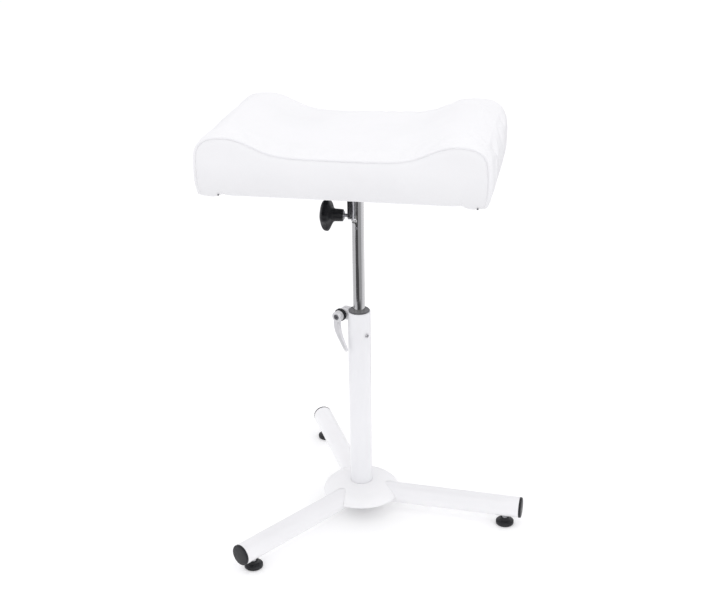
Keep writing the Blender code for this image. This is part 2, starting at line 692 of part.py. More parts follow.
def arm_rings():
    rings = []
    for place, width, thick, rise, sway in zip(ARM_PLACE_SHARES, ARM_WIDTH_SHARES, ARM_THICK_SHARES, ARM_RISE_SHARES,
                                              ARM_SWAY_SHARES):
        along = HEAD_RADIUS * ARM_ROOT_SHARE + (ARM_LENGTH - HEAD_RADIUS * ARM_ROOT_SHARE) * place
        middle = head_low + HEAD_THICK / 2 + ARM_RISE * rise
        ring = []
        for i in range(ARM_SIDES):
            angle = 2 * math.pi * (i + 0.5) / ARM_SIDES
            side = math.copysign(abs(math.cos(angle)) ** ARM_ROUND_SHARE, math.cos(angle))
            up = math.copysign(abs(math.sin(angle)) ** ARM_ROUND_SHARE, math.sin(angle))
            ring.append((along, ARM_WIDTH * width / 2 * side - ARM_SWAY * sway, middle + ARM_THICK * thick / 2 * up))
        rings.append(ring)
    return rings


ARM = cutter("arm_form", loft("arm_form", arm_rings()), lever_lift)
join_solid(lever_arm, ARM)

screw_seat = head_high - LEVER_SCREW_HEAD_THICK
lever_screw = turned(
    "lever_screw",
    [(0, screw_seat + LEVER_SCREW_HEAD_THICK),
     (LEVER_SCREW_HEAD - BUSH_EDGE, screw_seat + LEVER_SCREW_HEAD_THICK),
     (LEVER_SCREW_HEAD, screw_seat + LEVER_SCREW_HEAD_THICK - BUSH_EDGE), (LEVER_SCREW_HEAD, screw_seat),
     (LEVER_SCREW_RADIUS, screw_seat), (LEVER_SCREW_RADIUS, screw_seat - LEVER_SCREW_LENGTH),
     (0, screw_seat - LEVER_SCREW_LENGTH)],
    lever_turn, BLACK_PLASTIC, steps=SMALL_STEPS)
cut(lever_screw, turned_cutter(
    "lever_screw_socket",
    solid_rod(LEVER_SCREW_SOCKET, screw_seat + LEVER_SCREW_HEAD_THICK / 3, screw_seat + OVERRUN), lever_turn,
    steps=6))

# Inner post, standing in a plastic foot that slides in the column.
post_slide = joint_empty("post_slide", ROOT)
foot_low = POST_BOTTOM - SEAT_GAP - POST_FOOT_FLOOR
turned(
    "post_foot",
    [(BUSH_RADIUS - BUSH_EDGE, foot_low + POST_FOOT_HEIGHT),
     (BUSH_RADIUS, foot_low + POST_FOOT_HEIGHT - BUSH_EDGE), (BUSH_RADIUS, foot_low + BUSH_EDGE),
     (BUSH_RADIUS - BUSH_EDGE, foot_low), (POST_FOOT_OPENING, foot_low),
     (POST_FOOT_OPENING, foot_low + POST_FOOT_FLOOR), (POST_RADIUS + RUNNING_GAP, foot_low + POST_FOOT_FLOOR),
     (POST_RADIUS + RUNNING_GAP, foot_low + POST_FOOT_HEIGHT)],
    post_slide, GREY_PLASTIC, ring=True)
post_turn = joint_empty("post_turn", post_slide)
post_tube = turned(
    "post_tube", pipe(POST_RADIUS, POST_RADIUS - POST_WALL, POST_BOTTOM, POST_TOP), post_turn, CHROME,
    ring=True)
hinge_block = turned(
    "hinge_block",
    [(0, BLOCK_CAP_TOP), (BLOCK_CAP_RADIUS * BLOCK_CAP_SHARES[0], BLOCK_CAP_TOP - BUSH_EDGE / 2),
     (BLOCK_CAP_RADIUS * BLOCK_CAP_SHARES[1], BLOCK_CAP_TOP - BUSH_EDGE * 2),
     (BLOCK_CAP_RADIUS, POST_TOP + SEAT_GAP + BUSH_EDGE), (BLOCK_CAP_RADIUS, POST_TOP + SEAT_GAP),
     (BLOCK_RADIUS, POST_TOP + SEAT_GAP), (BLOCK_RADIUS, BLOCK_BOTTOM), (0, BLOCK_BOTTOM)],
    post_turn, STEEL)
tilt_line = joint_empty("tilt_line", post_turn, (0, 0, TILT_HEIGHT))
# Local Z of the knob line points to +X.
knob_axis = joint_empty("knob_axis", tilt_line, (0, 0, 0), (0, math.pi / 2, 0))
STUD_WAY = turned_cutter(
    "stud_way", solid_rod(KNOB_STUD_RADIUS + RUNNING_GAP, -POST_RADIUS - OVERRUN, BLOCK_RADIUS - POST_WALL),
    knob_axis, steps=SMALL_STEPS)
cut(hinge_block, STUD_WAY)
cut(post_tube, STUD_WAY)
pin_line = joint_empty("pin_line", post_turn, (0, 0, PIN_HEIGHT), (math.pi / 2, 0, 0))
TONGUE_WAY = cutter(
    "tongue_way", box_mesh("tongue_way", POST_RADIUS * 4, POST_RADIUS * 4, TONGUE_ROUND * 8), tilt_line,
    (HALF_FACE_X - POST_RADIUS * 2, 0, TONGUE_ROUND * 3 - TONGUE_ROOM))
cut(hinge_block, TONGUE_WAY)
cut(post_tube, TONGUE_WAY)
PIN_WAY = turned_cutter(
    "pin_way", solid_rod(PIN_HOLE, -POST_RADIUS - OVERRUN, POST_RADIUS + OVERRUN), pin_line, steps=SMALL_STEPS)
cut(hinge_block, PIN_WAY)
cut(post_tube, PIN_WAY)
turned(
    "block_pin", solid_rod(PIN_RADIUS, -PIN_LENGTH / 2, PIN_LENGTH / 2, SEAT_GAP), pin_line, STEEL,
    steps=SMALL_STEPS)

# Washer between the post and the tilting tongue.
nylon_far = -NYLON_INNER_X
turned(
    "tilt_washer",
    pipe(NYLON_RADIUS, KNOB_STUD_RADIUS + RUNNING_GAP, nylon_far - NYLON_THICK, nylon_far),
    knob_axis, NYLON, steps=SMALL_STEPS, ring=True)

# Star knob on its stud, with a loose washer that it pushes against the ear.
knob_slide = joint_empty("knob_slide", knob_axis)
washer_near = KNOB_NEAR_X + SEAT_GAP
turned(
    "knob_washer",
    pipe(KNOB_WASHER_RADIUS, KNOB_STUD_RADIUS + RUNNING_GAP, washer_near, washer_near + KNOB_WASHER_THICK),
    knob_slide, STEEL, steps=SMALL_STEPS, ring=True)
knob_turn = joint_empty("knob_turn", knob_slide)
turned(
    "knob_stud", solid_rod(KNOB_STUD_RADIUS, KNOB_NEAR_X - KNOB_SOCKET_DEPTH + SEAT_GAP, KNOB_STUD_END_X, SEAT_GAP),
    knob_turn, STEEL, steps=SMALL_STEPS)


def knob_rings():
    count = KNOB_LOBES * 6
    rings = []
    for radius, place, lobe in zip(KNOB_RADIUS_SHARES, KNOB_PLACE_SHARES, KNOB_LOBE_SHARES):
        ring = []
        for i in range(count):
            angle = 2 * math.pi * i / count
            reach = KNOB_HEAD_RADIUS * radius + KNOB_LOBE * lobe * math.cos(KNOB_LOBES * angle)
            ring.append((reach * math.cos(angle), -reach * math.sin(angle), KNOB_NEAR_X - KNOB_HEAD_FAR * place))
        rings.append(ring)
    return rings


knob_head = piece("knob_head", loft("knob_head", knob_rings()), knob_turn, BLACK_PLASTIC)
cut(knob_head, turned_cutter(
    "knob_socket",
    solid_rod(KNOB_STUD_RADIUS + SEAT_GAP, KNOB_NEAR_X - KNOB_SOCKET_DEPTH, KNOB_NEAR_X + OVERRUN), knob_turn,
    steps=SMALL_STEPS))

# Tilting bracket: one ear beside the post, welded under a plate.
tilt_turn = joint_empty("tilt_turn", tilt_line)
ear_top = TILT_PLATE_TOP - TILT_PLATE_THICK - SEAT_GAP - TILT_HEIGHT
# The ear's flat face is drawn looking along +X: local X is world Y, local Y is up.
ear_face = joint_empty("ear_face", tilt_turn, (0, 0, 0), (math.pi / 2, 0, math.pi / 2))
outline = arc(0, 0, EAR_PLATE_ROUND, math.pi, 2 * math.pi, 16)
outline += [(EAR_PLATE_HALF_TOP, EAR_PLATE_SHOULDER), (EAR_PLATE_HALF_TOP, ear_top),
            (-EAR_PLATE_HALF_TOP, ear_top), (-EAR_PLATE_HALF_TOP, EAR_PLATE_SHOULDER)]
tilt_ear = piece(
    "tilt_ear", flat_mesh("tilt_ear", outline), ear_face, STEEL,
    (0, 0, -EAR_PLATE_INNER_X - EAR_PLATE_THICK))
thicken(tilt_ear, EAR_PLATE_THICK)
cut(tilt_ear, turned_cutter(
    "ear_pivot_hole",
    solid_rod(KNOB_STUD_RADIUS + RUNNING_GAP, -EAR_PLATE_INNER_X - EAR_PLATE_THICK - OVERRUN, -NYLON_INNER_X),
    knob_axis, steps=SMALL_STEPS))

# The tongue turns in the room cut in the post's left half; its nose is round about the tilt axis.
tongue_outline = arc(0, 0, TONGUE_ROUND, math.pi, 2 * math.pi, 16)
tongue_outline += [(TONGUE_ROUND, ear_top), (-TONGUE_ROUND, ear_top)]
tongue = piece(
    "tilt_tongue", flat_mesh("tilt_tongue", tongue_outline), ear_face, CHROME,
    (0, 0, -EAR_PLATE_INNER_X + SEAT_GAP))
thicken(tongue, EAR_PLATE_INNER_X - SEAT_GAP + TONGUE_FACE_X)
cut(tongue, turned_cutter(
    "tongue_hole",
    solid_rod(KNOB_STUD_RADIUS + RUNNING_GAP, -EAR_PLATE_INNER_X - OVERRUN, 0), knob_axis, steps=SMALL_STEPS))

gusset = piece(
    "tilt_gusset",
    flat_mesh("tilt_gusset", [(0, -GUSSET_LEG), (GUSSET_LEG, 0), (0, 0)]),
    tilt_turn, STEEL, (TONGUE_FACE_X + SEAT_GAP, GUSSET_THICK / 2, ear_top), (math.pi / 2, 0, 0))
thicken(gusset, GUSSET_THICK)

screw_places = [(sx * PLATE_SCREW_X, sy * PLATE_SCREW_Y) for sx in (-1, 1) for sy in (-1, 1)]
plate_low = TILT_PLATE_TOP - TILT_PLATE_THICK - TILT_HEIGHT
SCREW_WAYS = cutter(
    "plate_screw_ways",
    rods_mesh("plate_screw_ways", screw_places, PLATE_SCREW_HOLE, plate_low - OVERRUN,
              BOARD_BOTTOM - TILT_HEIGHT + PLATE_SCREW_REACH, SMALL_STEPS),
    tilt_turn)
tilt_plate = piece(
    "tilt_plate",
    flat_mesh("tilt_plate", rounded_rectangle(TILT_PLATE_HALF_X, TILT_PLATE_HALF_Y, TILT_PLATE_CORNER)),
    tilt_turn, STEEL, (0, 0, plate_low))
thicken(tilt_plate, TILT_PLATE_THICK)
cut(tilt_plate, SCREW_WAYS)
head_top = plate_low - SEAT_GAP
for index, (x, y) in enumerate(screw_places, start=1):
    screw = turned(
        f"plate_screw_{index}",
        [(0, BOARD_BOTTOM - TILT_HEIGHT + PLATE_SCREW_REACH - SEAT_GAP * 2),
         (PLATE_SCREW_RADIUS, BOARD_BOTTOM - TILT_HEIGHT + PLATE_SCREW_REACH - PLATE_SCREW_RADIUS),
         (PLATE_SCREW_RADIUS, head_top), (PLATE_SCREW_HEAD, head_top),
         (PLATE_SCREW_HEAD * PLATE_SCREW_HEAD_SHARES[0], head_top - PLATE_SCREW_HEAD_THICK / 2),
         (PLATE_SCREW_HEAD * PLATE_SCREW_HEAD_SHARES[1], head_top - PLATE_SCREW_HEAD_THICK),
         (0, head_top - PLATE_SCREW_HEAD_THICK)],
        tilt_turn, STEEL, (x, y, 0), steps=SMALL_STEPS)

# Cushion: board, dust cloth, foam, sewn cover and two piping cords.
cushion_line = joint_empty("cushion_line", tilt_turn, (0, -CUSHION_FORWARD, -TILT_HEIGHT))
board_half_x = CUSHION_HALF_X - BOARD_INSET
board_half_y = CUSHION_HALF_Y - COVER_THICK - FOAM_GAP * 3
board = piece(
    "base_board",
    flat_mesh("base_board", rounded_rectangle(board_half_x, board_half_y - CUSHION_CROWN / 2, BOARD_CORNER)),
    cushion_line, PLYWOOD, (0, 0, BOARD_BOTTOM))
thicken(board, BOARD_THICK)
cut(board, SCREW_WAYS)


def profile_columns():
    """Places along X and the top there, from the left end to the right end."""
    right = [(x * CUSHION_HALF_X, z * CUSHION_HEIGHT) for x, z in TOP_SHARES]
    left = [(-x, z) for x, z in right[:0:-1]]
    return left + right


COLUMNS = profile_columns()
ACROSS = len(COLUMNS) - 1
UP = len(SIDE_SHARES) - 1


def grid_point(i, j):
    """A point of the cushion's cross-section: column i along X, row j upwards."""
    x, top = COLUMNS[i]
    high, width = SIDE_SHARES[j]
    edge = COLUMNS[-1][0] / CUSHION_HALF_X
    return Vector((x / edge * width, 0, top * high))


def section_loop():
    """Grid places round the cross-section: along the top, down the right end, back and up."""
    loop = [(i, UP) for i in range(ACROSS + 1)]
    loop += [(ACROSS, j) for j in range(UP - 1, -1, -1)]
    loop += [(i, 0) for i in range(ACROSS - 1, -1, -1)]
    loop += [(0, j) for j in range(1, UP)]
    return loop


LOOP = section_loop()


def loop_normals():
    """Outward directions of the cross-section; nothing moves the flat underside up or down."""
    points = [grid_point(i, j) for i, j in LOOP]
    normals = []
    for index, (i, j) in enumerate(LOOP):
        along = points[(index + 1) % len(points)] - points[index - 1]
        normal = Vector((-along.z, 0, along.x)).normalized()
        if j == 0:
            normal = Vector((math.copysign(1, points[index].x), 0, 0)) if i in (0, ACROSS) else Vector((0, 0, 0))
        normals.append(normal)
    return normals


NORMALS = loop_normals()


def crown_weight(j):
    return 1.0 if j == UP else CROWN_SIDE_SHARE


def cushion_loop(y, offset):
    """The cross-section at this depth, grown outwards by the offset."""
    ring = []
    for (i, j), normal in zip(LOOP, NORMALS):
        weight = crown_weight(j) if offset > 0 else 1.0
        ring.append(grid_point(i, j) + normal * offset * weight + Vector((0, y, 0)))
    return ring


def cushion_stations():
    """Depth and outward offset of each cross-section, from front to back."""
    near = [(-CUSHION_HALF_Y * place, CUSHION_CROWN * crown) for place, crown in DEPTH_SHARES[:0:-1]]
    edge = [(-CUSHION_HALF_Y, -CHAMFER - PIPING_RADIUS / 5), (-CUSHION_HALF_Y + CHAMFER, -PIPING_RADIUS / 5)]
    middle = [(0, CUSHION_CROWN * DEPTH_SHARES[0][1])]
    front = edge + near
    return front + middle + [(-y, offset) for y, offset in front[::-1]]


STATIONS = cushion_stations()


def cushion_form(open_below):
    """Skin of the crowned cushion. Inside each end face the section's own grid is used."""
    form = bmesh.new()
    rings = [[form.verts.new(point) for point in cushion_loop(y, offset)] for y, offset in STATIONS]
    count = len(LOOP)
    last = len(rings) - 1
    for k in range(last):
        for a in range(count):
            b = (a + 1) % count
            low = LOOP[a][1] == 0 and LOOP[b][1] == 0
            middle = 1 < k < last - 2 and 0 < min(LOOP[a][0], LOOP[b][0]) and max(LOOP[a][0], LOOP[b][0]) < ACROSS
            if open_below and low and middle:
                continue
            form.faces.new((rings[k][a], rings[k][b], rings[k + 1][b], rings[k + 1][a]))
    place_of = {place: index for index, place in enumerate(LOOP)}
    for ring, (y, offset), side in ((rings[0], STATIONS[0], -1), (rings[-1], STATIONS[-1], 1)):
        grid = {}
        for i in range(ACROSS + 1):
            for j in range(UP + 1):
                if (i, j) in place_of:
                    grid[i, j] = ring[place_of[(i, j)]]
                    continue
                low = ring[place_of[(i, 0)]].co
                high = ring[place_of[(i, UP)]].co
                share = SIDE_SHARES[j][0]
                spread = SIDE_SHARES[j][1] / ((SIDE_SHARES[0][1] + SIDE_SHARES[-1][1]) / 2)
                point = low.lerp(high, share)
                point.x *= 1 + (spread - 1) * abs(point.x) / CUSHION_HALF_X
                swell = 4 * share * (1 - share) * (1 - (point.x / CUSHION_HALF_X) ** 4)
                point.y = y + side * CUSHION_CROWN * FACE_SWELL_SHARE * swell
                grid[i, j] = form.verts.new(point)
        for i in range(ACROSS):
            for j in range(UP):
                corners = (grid[i, j], grid[i + 1, j], grid[i + 1, j + 1], grid[i, j + 1])
                form.faces.new(corners if side < 0 else corners[::-1])
    loose = [vert for vert in form.verts if not vert.link_faces]
    bmesh.ops.delete(form, geom=loose, context="VERTS")
    bmesh.ops.recalc_face_normals(form, faces=form.faces)
    return form


def mesh_of(form, name):
    mesh = bpy.data.meshes.new(name)
    form.to_mesh(mesh)
    form.free()
    smooth(mesh)
    return mesh


cover = piece(
    "cushion_cover", mesh_of(cushion_form(True), "cushion_cover"), cushion_line, LEATHER, (0, 0, CUSHION_BOTTOM))
shell = cover.modifiers.new("hide thickness", "SOLIDIFY")
shell.thickness = COVER_THICK
shell.offset = -1.0
shell.use_even_offset = True

foam_form = cushion_form(False)
foam_form.normal_update()
inward = COVER_THICK + FOAM_GAP
moves = [(vert, vert.normal * inward * min(vert.calc_shell_factor(), CORNER_STRETCH_SHARE)) for vert in foam_form.verts]
for vert, move in moves:
    vert.co -= move
foam = piece("foam_core", mesh_of(foam_form, "foam_core"), cushion_line, FOAM, (0, 0, CUSHION_BOTTOM))
room_below = BOARD_BOTTOM + BOARD_THICK + SEAT_GAP - CUSHION_BOTTOM
cut(foam, cutter(
    "board_room",
    box_mesh("board_room", CUSHION_HALF_X * 3, CUSHION_HALF_Y * 3, room_below * 2), cushion_line,
    (0, 0, CUSHION_BOTTOM)))

flange_x = COLUMNS[1][0]
dust_half_x = abs(flange_x) / (COLUMNS[-1][0] / CUSHION_HALF_X) * SIDE_SHARES[0][1] - FOAM_GAP * 2
dust_half_y = abs(STATIONS[2][0]) - FOAM_GAP * 2
dust = piece(
    "dust_cloth",
    flat_mesh("dust_cloth", rounded_rectangle(dust_half_x, dust_half_y, FOAM_GAP * 5)),
    cushion_line, CLOTH, (0, 0, DUST_BOTTOM))
thicken(dust, DUST_THICK)
cut(dust, SCREW_WAYS)


def piping(name, side):
    """A round cord in the seam, up one end, over the top and down the other end."""
    stand_off = PIPING_RADIUS + PIPING_GAP + PIPING_RADIUS / 12
    lean = stand_off / math.sqrt(2)
    half = CHAMFER / 2
    depth = CUSHION_HALF_Y - half + lean
    out = -half - PIPING_RADIUS / 5 + lean
    path = []
    for (i, j), normal in zip(LOOP, NORMALS):
        if j == 0 and i not in (0, ACROSS):
            continue
        path.append(grid_point(i, j) + normal * out + Vector((0, side * depth, 0)))
    order = [place for place in LOOP if not (place[1] == 0 and place[0] not in (0, ACROSS))]
    first = order.index((0, 0))
    path = path[first:] + path[:first]
    path[0].z += PIPING_GAP
    path[-1].z += PIPING_GAP
    curve = bpy.data.curves.new(name, "CURVE")
    curve.dimensions = "3D"
    curve.bevel_depth = PIPING_RADIUS
    curve.bevel_resolution = PIPING_SIDES - 2
    curve.use_fill_caps = True
    curve.resolution_u = 1
    spline = curve.splines.new("POLY")
    spline.points.add(len(path) - 1)
    for target, point in zip(spline.points, path):
        target.co = (*point, 1.0)
    spline.use_smooth = True
    guide = cutter(name + "_guide", curve, cushion_line, (0, 0, CUSHION_BOTTOM))
    bpy.context.view_layer.update()
    mesh = bpy.data.meshes.new_from_object(guide.evaluated_get(bpy.context.evaluated_depsgraph_get()))
    form = bmesh.new()
    form.from_mesh(mesh)
    bmesh.ops.remove_doubles(form, verts=form.verts, dist=MERGE)
    bmesh.ops.recalc_face_normals(form, faces=form.faces)
    cord = mesh_of(form, name)
    bpy.data.objects.remove(guide, do_unlink=True)
    return piece(name, cord, cushion_line, LEATHER, (0, 0, CUSHION_BOTTOM))


piping("piping_front", -1)
piping("piping_rear", 1)

# The frame's origin is the middle of the part's underside box.
bpy.context.view_layer.update()
graph = bpy.context.evaluated_depsgraph_get()
corners = []
for obj in PARTS.objects:
    if obj.type != "EMPTY":
        seen = obj.evaluated_get(graph)
        corners += [seen.matrix_world @ vert.co for vert in seen.data.vertices]
ROOT.location.x -= (min(c.x for c in corners) + max(c.x for c in corners)) / 2
ROOT.location.y -= (min(c.y for c in corners) + max(c.y for c in corners)) / 2
ROOT.location.z -= min(c.z for c in corners)
bpy.context.view_layer.update()
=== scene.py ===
import json
import math

import bmesh
import bpy
from mathutils import Matrix, Vector, noise


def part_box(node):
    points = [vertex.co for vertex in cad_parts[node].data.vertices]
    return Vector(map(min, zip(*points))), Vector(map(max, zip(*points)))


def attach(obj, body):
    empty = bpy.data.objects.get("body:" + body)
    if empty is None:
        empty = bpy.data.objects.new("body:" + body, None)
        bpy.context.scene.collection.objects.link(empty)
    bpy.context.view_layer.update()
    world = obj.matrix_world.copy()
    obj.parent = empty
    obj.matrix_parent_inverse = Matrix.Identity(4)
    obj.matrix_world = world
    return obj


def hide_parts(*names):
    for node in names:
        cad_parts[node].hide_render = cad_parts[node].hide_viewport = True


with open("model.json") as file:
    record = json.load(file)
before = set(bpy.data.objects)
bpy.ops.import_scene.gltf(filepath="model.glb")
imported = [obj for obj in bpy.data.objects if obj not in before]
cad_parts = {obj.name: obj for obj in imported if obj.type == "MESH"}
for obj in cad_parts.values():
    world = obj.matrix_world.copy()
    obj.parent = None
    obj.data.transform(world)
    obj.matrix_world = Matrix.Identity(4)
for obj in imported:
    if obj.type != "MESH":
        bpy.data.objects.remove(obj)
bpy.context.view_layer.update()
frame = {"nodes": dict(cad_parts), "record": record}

NODES = frame["nodes"]

# The column's axis stands here in the row frame.
AXIS_X = -0.028948
AXIS_Y = -0.007181


def add_object(name, data):
    obj = bpy.data.objects.new(name, data)
    bpy.context.scene.collection.objects.link(obj)
    return obj


# Camera at the photograph's viewing angle: angles in radians, place from the foot of the column's axis.
CAMERA_AZIMUTH = 0.19453
CAMERA_ELEVATION = 0.40995
CAMERA_ROLL = -0.01382
CAMERA_PLACE = (0.3460, -1.7363, 1.1303)
CAMERA_LENS = 62.2
CAMERA_SENSOR = 36.0


def place_camera():
    level = math.cos(CAMERA_ELEVATION)
    back = Vector((math.sin(CAMERA_AZIMUTH) * level, -math.cos(CAMERA_AZIMUTH) * level,
                   math.sin(CAMERA_ELEVATION)))
    right = Vector((math.cos(CAMERA_AZIMUTH), math.sin(CAMERA_AZIMUTH), 0))
    up = back.cross(right)
    side = right * math.cos(CAMERA_ROLL) + up * math.sin(CAMERA_ROLL)
    top = up * math.cos(CAMERA_ROLL) - right * math.sin(CAMERA_ROLL)
    data = bpy.data.cameras.new("camera")
    data.sensor_width = CAMERA_SENSOR
    data.lens = CAMERA_LENS
    camera = add_object("camera", data)
    turn = Matrix((side, top, back)).transposed().to_4x4()
    place = (CAMERA_PLACE[0] + AXIS_X, CAMERA_PLACE[1] + AXIS_Y, CAMERA_PLACE[2])
    camera.matrix_world = Matrix.Translation(place) @ turn
    bpy.context.scene.camera = camera


place_camera()


# Materials: every one is procedural, in object coordinates, which are metres here.
class Paint:
    """A principled material and the few texture nodes that vary it."""

    def __init__(self, name, colour, rough, metallic=0.0):
        self.material = bpy.data.materials.new(name)
        self.material.use_nodes = True
        self.tree = self.material.node_tree
        self.shader = self.tree.nodes["Principled BSDF"]
        self.shader.inputs["Base Color"].default_value = (*colour, 1)
        self.shader.inputs["Roughness"].default_value = rough
        self.shader.inputs["Metallic"].default_value = metallic
        self.coord = self.tree.nodes.new("ShaderNodeTexCoord").outputs["Object"]
        self.height = None

    def node(self, kind, links=(), **values):
        """A new node: values go to its own settings or else to its inputs, links are (input, source) pairs."""
        made = self.tree.nodes.new(kind)
        for key, value in values.items():
            if hasattr(made, key):
                setattr(made, key, value)
            else:
                made.inputs[key.replace("_", " ")].default_value = value
        for name, source in links:
            self.tree.links.new(source, made.inputs[name])
        return made

    def placed(self, stretch):
        if not stretch:
            return self.coord
        return self.node("ShaderNodeMapping", [("Vector", self.coord)], Scale=stretch).outputs[0]

    def noise(self, scale, detail=3.0, rough=0.5, stretch=None):
        return self.node("ShaderNodeTexNoise", [("Vector", self.placed(stretch))], Scale=scale, Detail=detail,
                         Roughness=rough).outputs["Fac"]

    def cells(self, scale, feature="F1"):
        return self.node("ShaderNodeTexVoronoi", [("Vector", self.coord)], feature=feature,
                         Scale=scale).outputs["Distance"]

    def waves(self, direction, scale, distortion=0.0):
        return self.node("ShaderNodeTexWave", [("Vector", self.coord)], bands_direction=direction, Scale=scale,
                         Distortion=distortion).outputs["Fac"]

    def product(self, first, second):
        return self.node("ShaderNodeMath", [(0, first), (1, second)], operation="MULTIPLY").outputs[0]

    def map_range(self, source, start, end, low, high):
        return self.node("ShaderNodeMapRange", [("Value", source)], From_Min=start, From_Max=end, To_Min=low,
                         To_Max=high).outputs["Result"]

    def ramp(self, source, stops):
        made = self.node("ShaderNodeValToRGB", [("Fac", source)])
        elements = made.color_ramp.elements
        while len(elements) < len(stops):
            elements.new(0.5)
        for element, (place, colour) in zip(elements, stops):
            element.position = place
            element.color = (*colour, 1)
        return made.outputs["Color"]

    def vary_colour(self, source, low, high, start=0.3, end=0.7):
        self.tree.links.new(self.ramp(source, [(start, low), (end, high)]), self.shader.inputs["Base Color"])

    def vary_rough(self, source, low, high, start=0.3, end=0.7):
        self.tree.links.new(self.map_range(source, start, end, low, high), self.shader.inputs["Roughness"])

    def paint_shade_low(self, low, high, least):
        """Painted shade: base colour falls off a little towards the piece's lower edge."""
        apart = self.node("ShaderNodeSeparateXYZ", [("Vector", self.coord)])
        share = self.map_range(apart.outputs["Z"], low, high, least, 1.0)
        source = self.shader.inputs["Base Color"].links[0].from_socket
        scaled = self.node("ShaderNodeVectorMath", [("Vector", source), ("Scale", share)], operation="SCALE")
        self.tree.links.new(scaled.outputs["Vector"], self.shader.inputs["Base Color"])

    def bump(self, source, strength, distance):
        made = self.node("ShaderNodeBump", [("Height", source)], Strength=strength, Distance=distance)
        if self.height is not None:
            self.tree.links.new(self.height, made.inputs["Normal"])
        self.height = made.outputs["Normal"]
        self.tree.links.new(self.height, self.shader.inputs["Normal"])

    def set(self, **values):
        for key, value in values.items():
            self.shader.inputs[key.replace("_", " ")].default_value = value
        return self


def tinted(colour, share):
    return tuple(min(1, part * share) for part in colour)


def leather(name, colour):
    made = Paint(name, colour, 0.42)
    made.vary_colour(made.noise(9, 4), tinted(colour, 0.972), colour, 0.35, 0.6)
    # Painted shade towards the cover's lower edge, where it turns under.
    made.paint_shade_low(0.574, 0.620, 0.945)
    made.vary_rough(made.noise(60, 4), 0.36, 0.5)
    made.bump(made.cells(780, "SMOOTH_F1"), 0.16, 0.0004)
    made.bump(made.noise(2600, 2), 0.10, 0.0002)
    made.bump(made.noise(22, 3), 0.10, 0.0012)
    made.set(Coat_Weight=0.10, Coat_Roughness=0.35, Specular_IOR_Level=0.45, Sheen_Weight=0.05)
    return made.material


def powder_coat(name, colour):
    made = Paint(name, colour, 0.34)
    made.vary_colour(made.noise(14, 3), tinted(colour, 0.975), colour, 0.35, 0.65)
    made.vary_rough(made.noise(90, 3), 0.28, 0.40)
    made.bump(made.noise(900, 2, 0.4), 0.10, 0.0003)
    made.set(Coat_Weight=0.25, Coat_Roughness=0.18)
    return made.material


def polished(name, colour, rough=0.05):
    made = Paint(name, colour, rough, 1.0)
    made.vary_rough(made.noise(240, 4, 0.6, (1, 1, 0.12)), rough * 0.6, rough * 1.8)
    made.vary_colour(made.noise(30, 3), tinted(colour, 0.96), colour)
    made.bump(made.noise(1400, 2, 0.5, (1, 1, 0.05)), 0.02, 0.0001)
    return made.material


def cast_metal(name, colour):
    made = Paint(name, colour, 0.34, 0.45)
    made.vary_rough(made.noise(320, 4), 0.28, 0.42)
    made.vary_colour(made.noise(120, 3), tinted(colour, 0.94), colour)
    made.bump(made.noise(900, 3), 0.12, 0.0002)
    return made.material


def zinc(name, colour):
    made = Paint(name, colour, 0.34, 1.0)
    made.vary_rough(made.noise(420, 4, 0.6, (1, 1, 0.25)), 0.26, 0.46)
    made.vary_colour(made.cells(260), tinted(colour, 0.86), colour, 0.1, 0.7)
    made.bump(made.noise(1600, 2, 0.5, (1, 1, 0.15)), 0.06, 0.0001)
    return made.material


def moulded(name, colour, rough=0.42, grain=0.10):
    made = Paint(name, colour, rough)
    made.vary_rough(made.noise(160, 3), rough * 0.85, rough * 1.2)
    made.vary_colour(made.noise(45, 3), tinted(colour, 0.8), tinted(colour, 1.15))
    made.bump(made.cells(1900), grain, 0.00015)
    made.bump(made.noise(4200, 2), grain, 0.0001)
    made.set(Specular_IOR_Level=0.38)
    return made.material


def foam_paint(name, colour):
    made = Paint(name, colour, 0.95)
    made.vary_colour(made.cells(900), tinted(colour, 0.72), colour, 0.05, 0.5)
    made.bump(made.cells(900), 0.6, 0.0006)
    made.bump(made.noise(2600, 3), 0.4, 0.0003)
    return made.material


def plywood_paint(name):
    made = Paint(name, (0.60, 0.44, 0.27), 0.6)
    plies = made.waves("Z", 130, 0.4)
    grain = made.noise(16, 6, 0.62, (1, 14, 14))
    made.vary_colour(made.product(plies, grain), (0.42, 0.28, 0.15), (0.68, 0.52, 0.33), 0.05, 0.55)
    made.bump(grain, 0.25, 0.0004)
    return made.material


def spun_cloth(name, colour):
    made = Paint(name, colour, 0.92)
    weave = made.product(made.waves("X", 260), made.waves("Y", 260))
    made.vary_colour(weave, tinted(colour, 0.5), tinted(colour, 1.7), 0.1, 0.9)
    made.bump(weave, 0.5, 0.0004)
    made.bump(made.noise(700, 3), 0.3, 0.0003)
    return made.material


WHITE_LEATHER = leather("white_leather_grain", (0.853, 0.853, 0.862))
PIPING_LEATHER = leather("piping_leather_grain", (0.86, 0.86, 0.87))
# One white coat in three copies: the lighter copy is painted light, the darker copy is painted shade.
WHITE_COAT = powder_coat("white_powder_coat", (0.868, 0.866, 0.876))
PAINTED_LIGHT_COAT = powder_coat("white_coat_painted_light", (0.910, 0.910, 0.915))
PAINTED_SHADE_COAT = powder_coat("white_coat_painted_shade", (0.850, 0.852, 0.866))
CHROME = polished("polished_chrome", (0.84, 0.842, 0.825))
SATIN_CHROME = polished("satin_chrome", (0.90, 0.90, 0.91), 0.24)
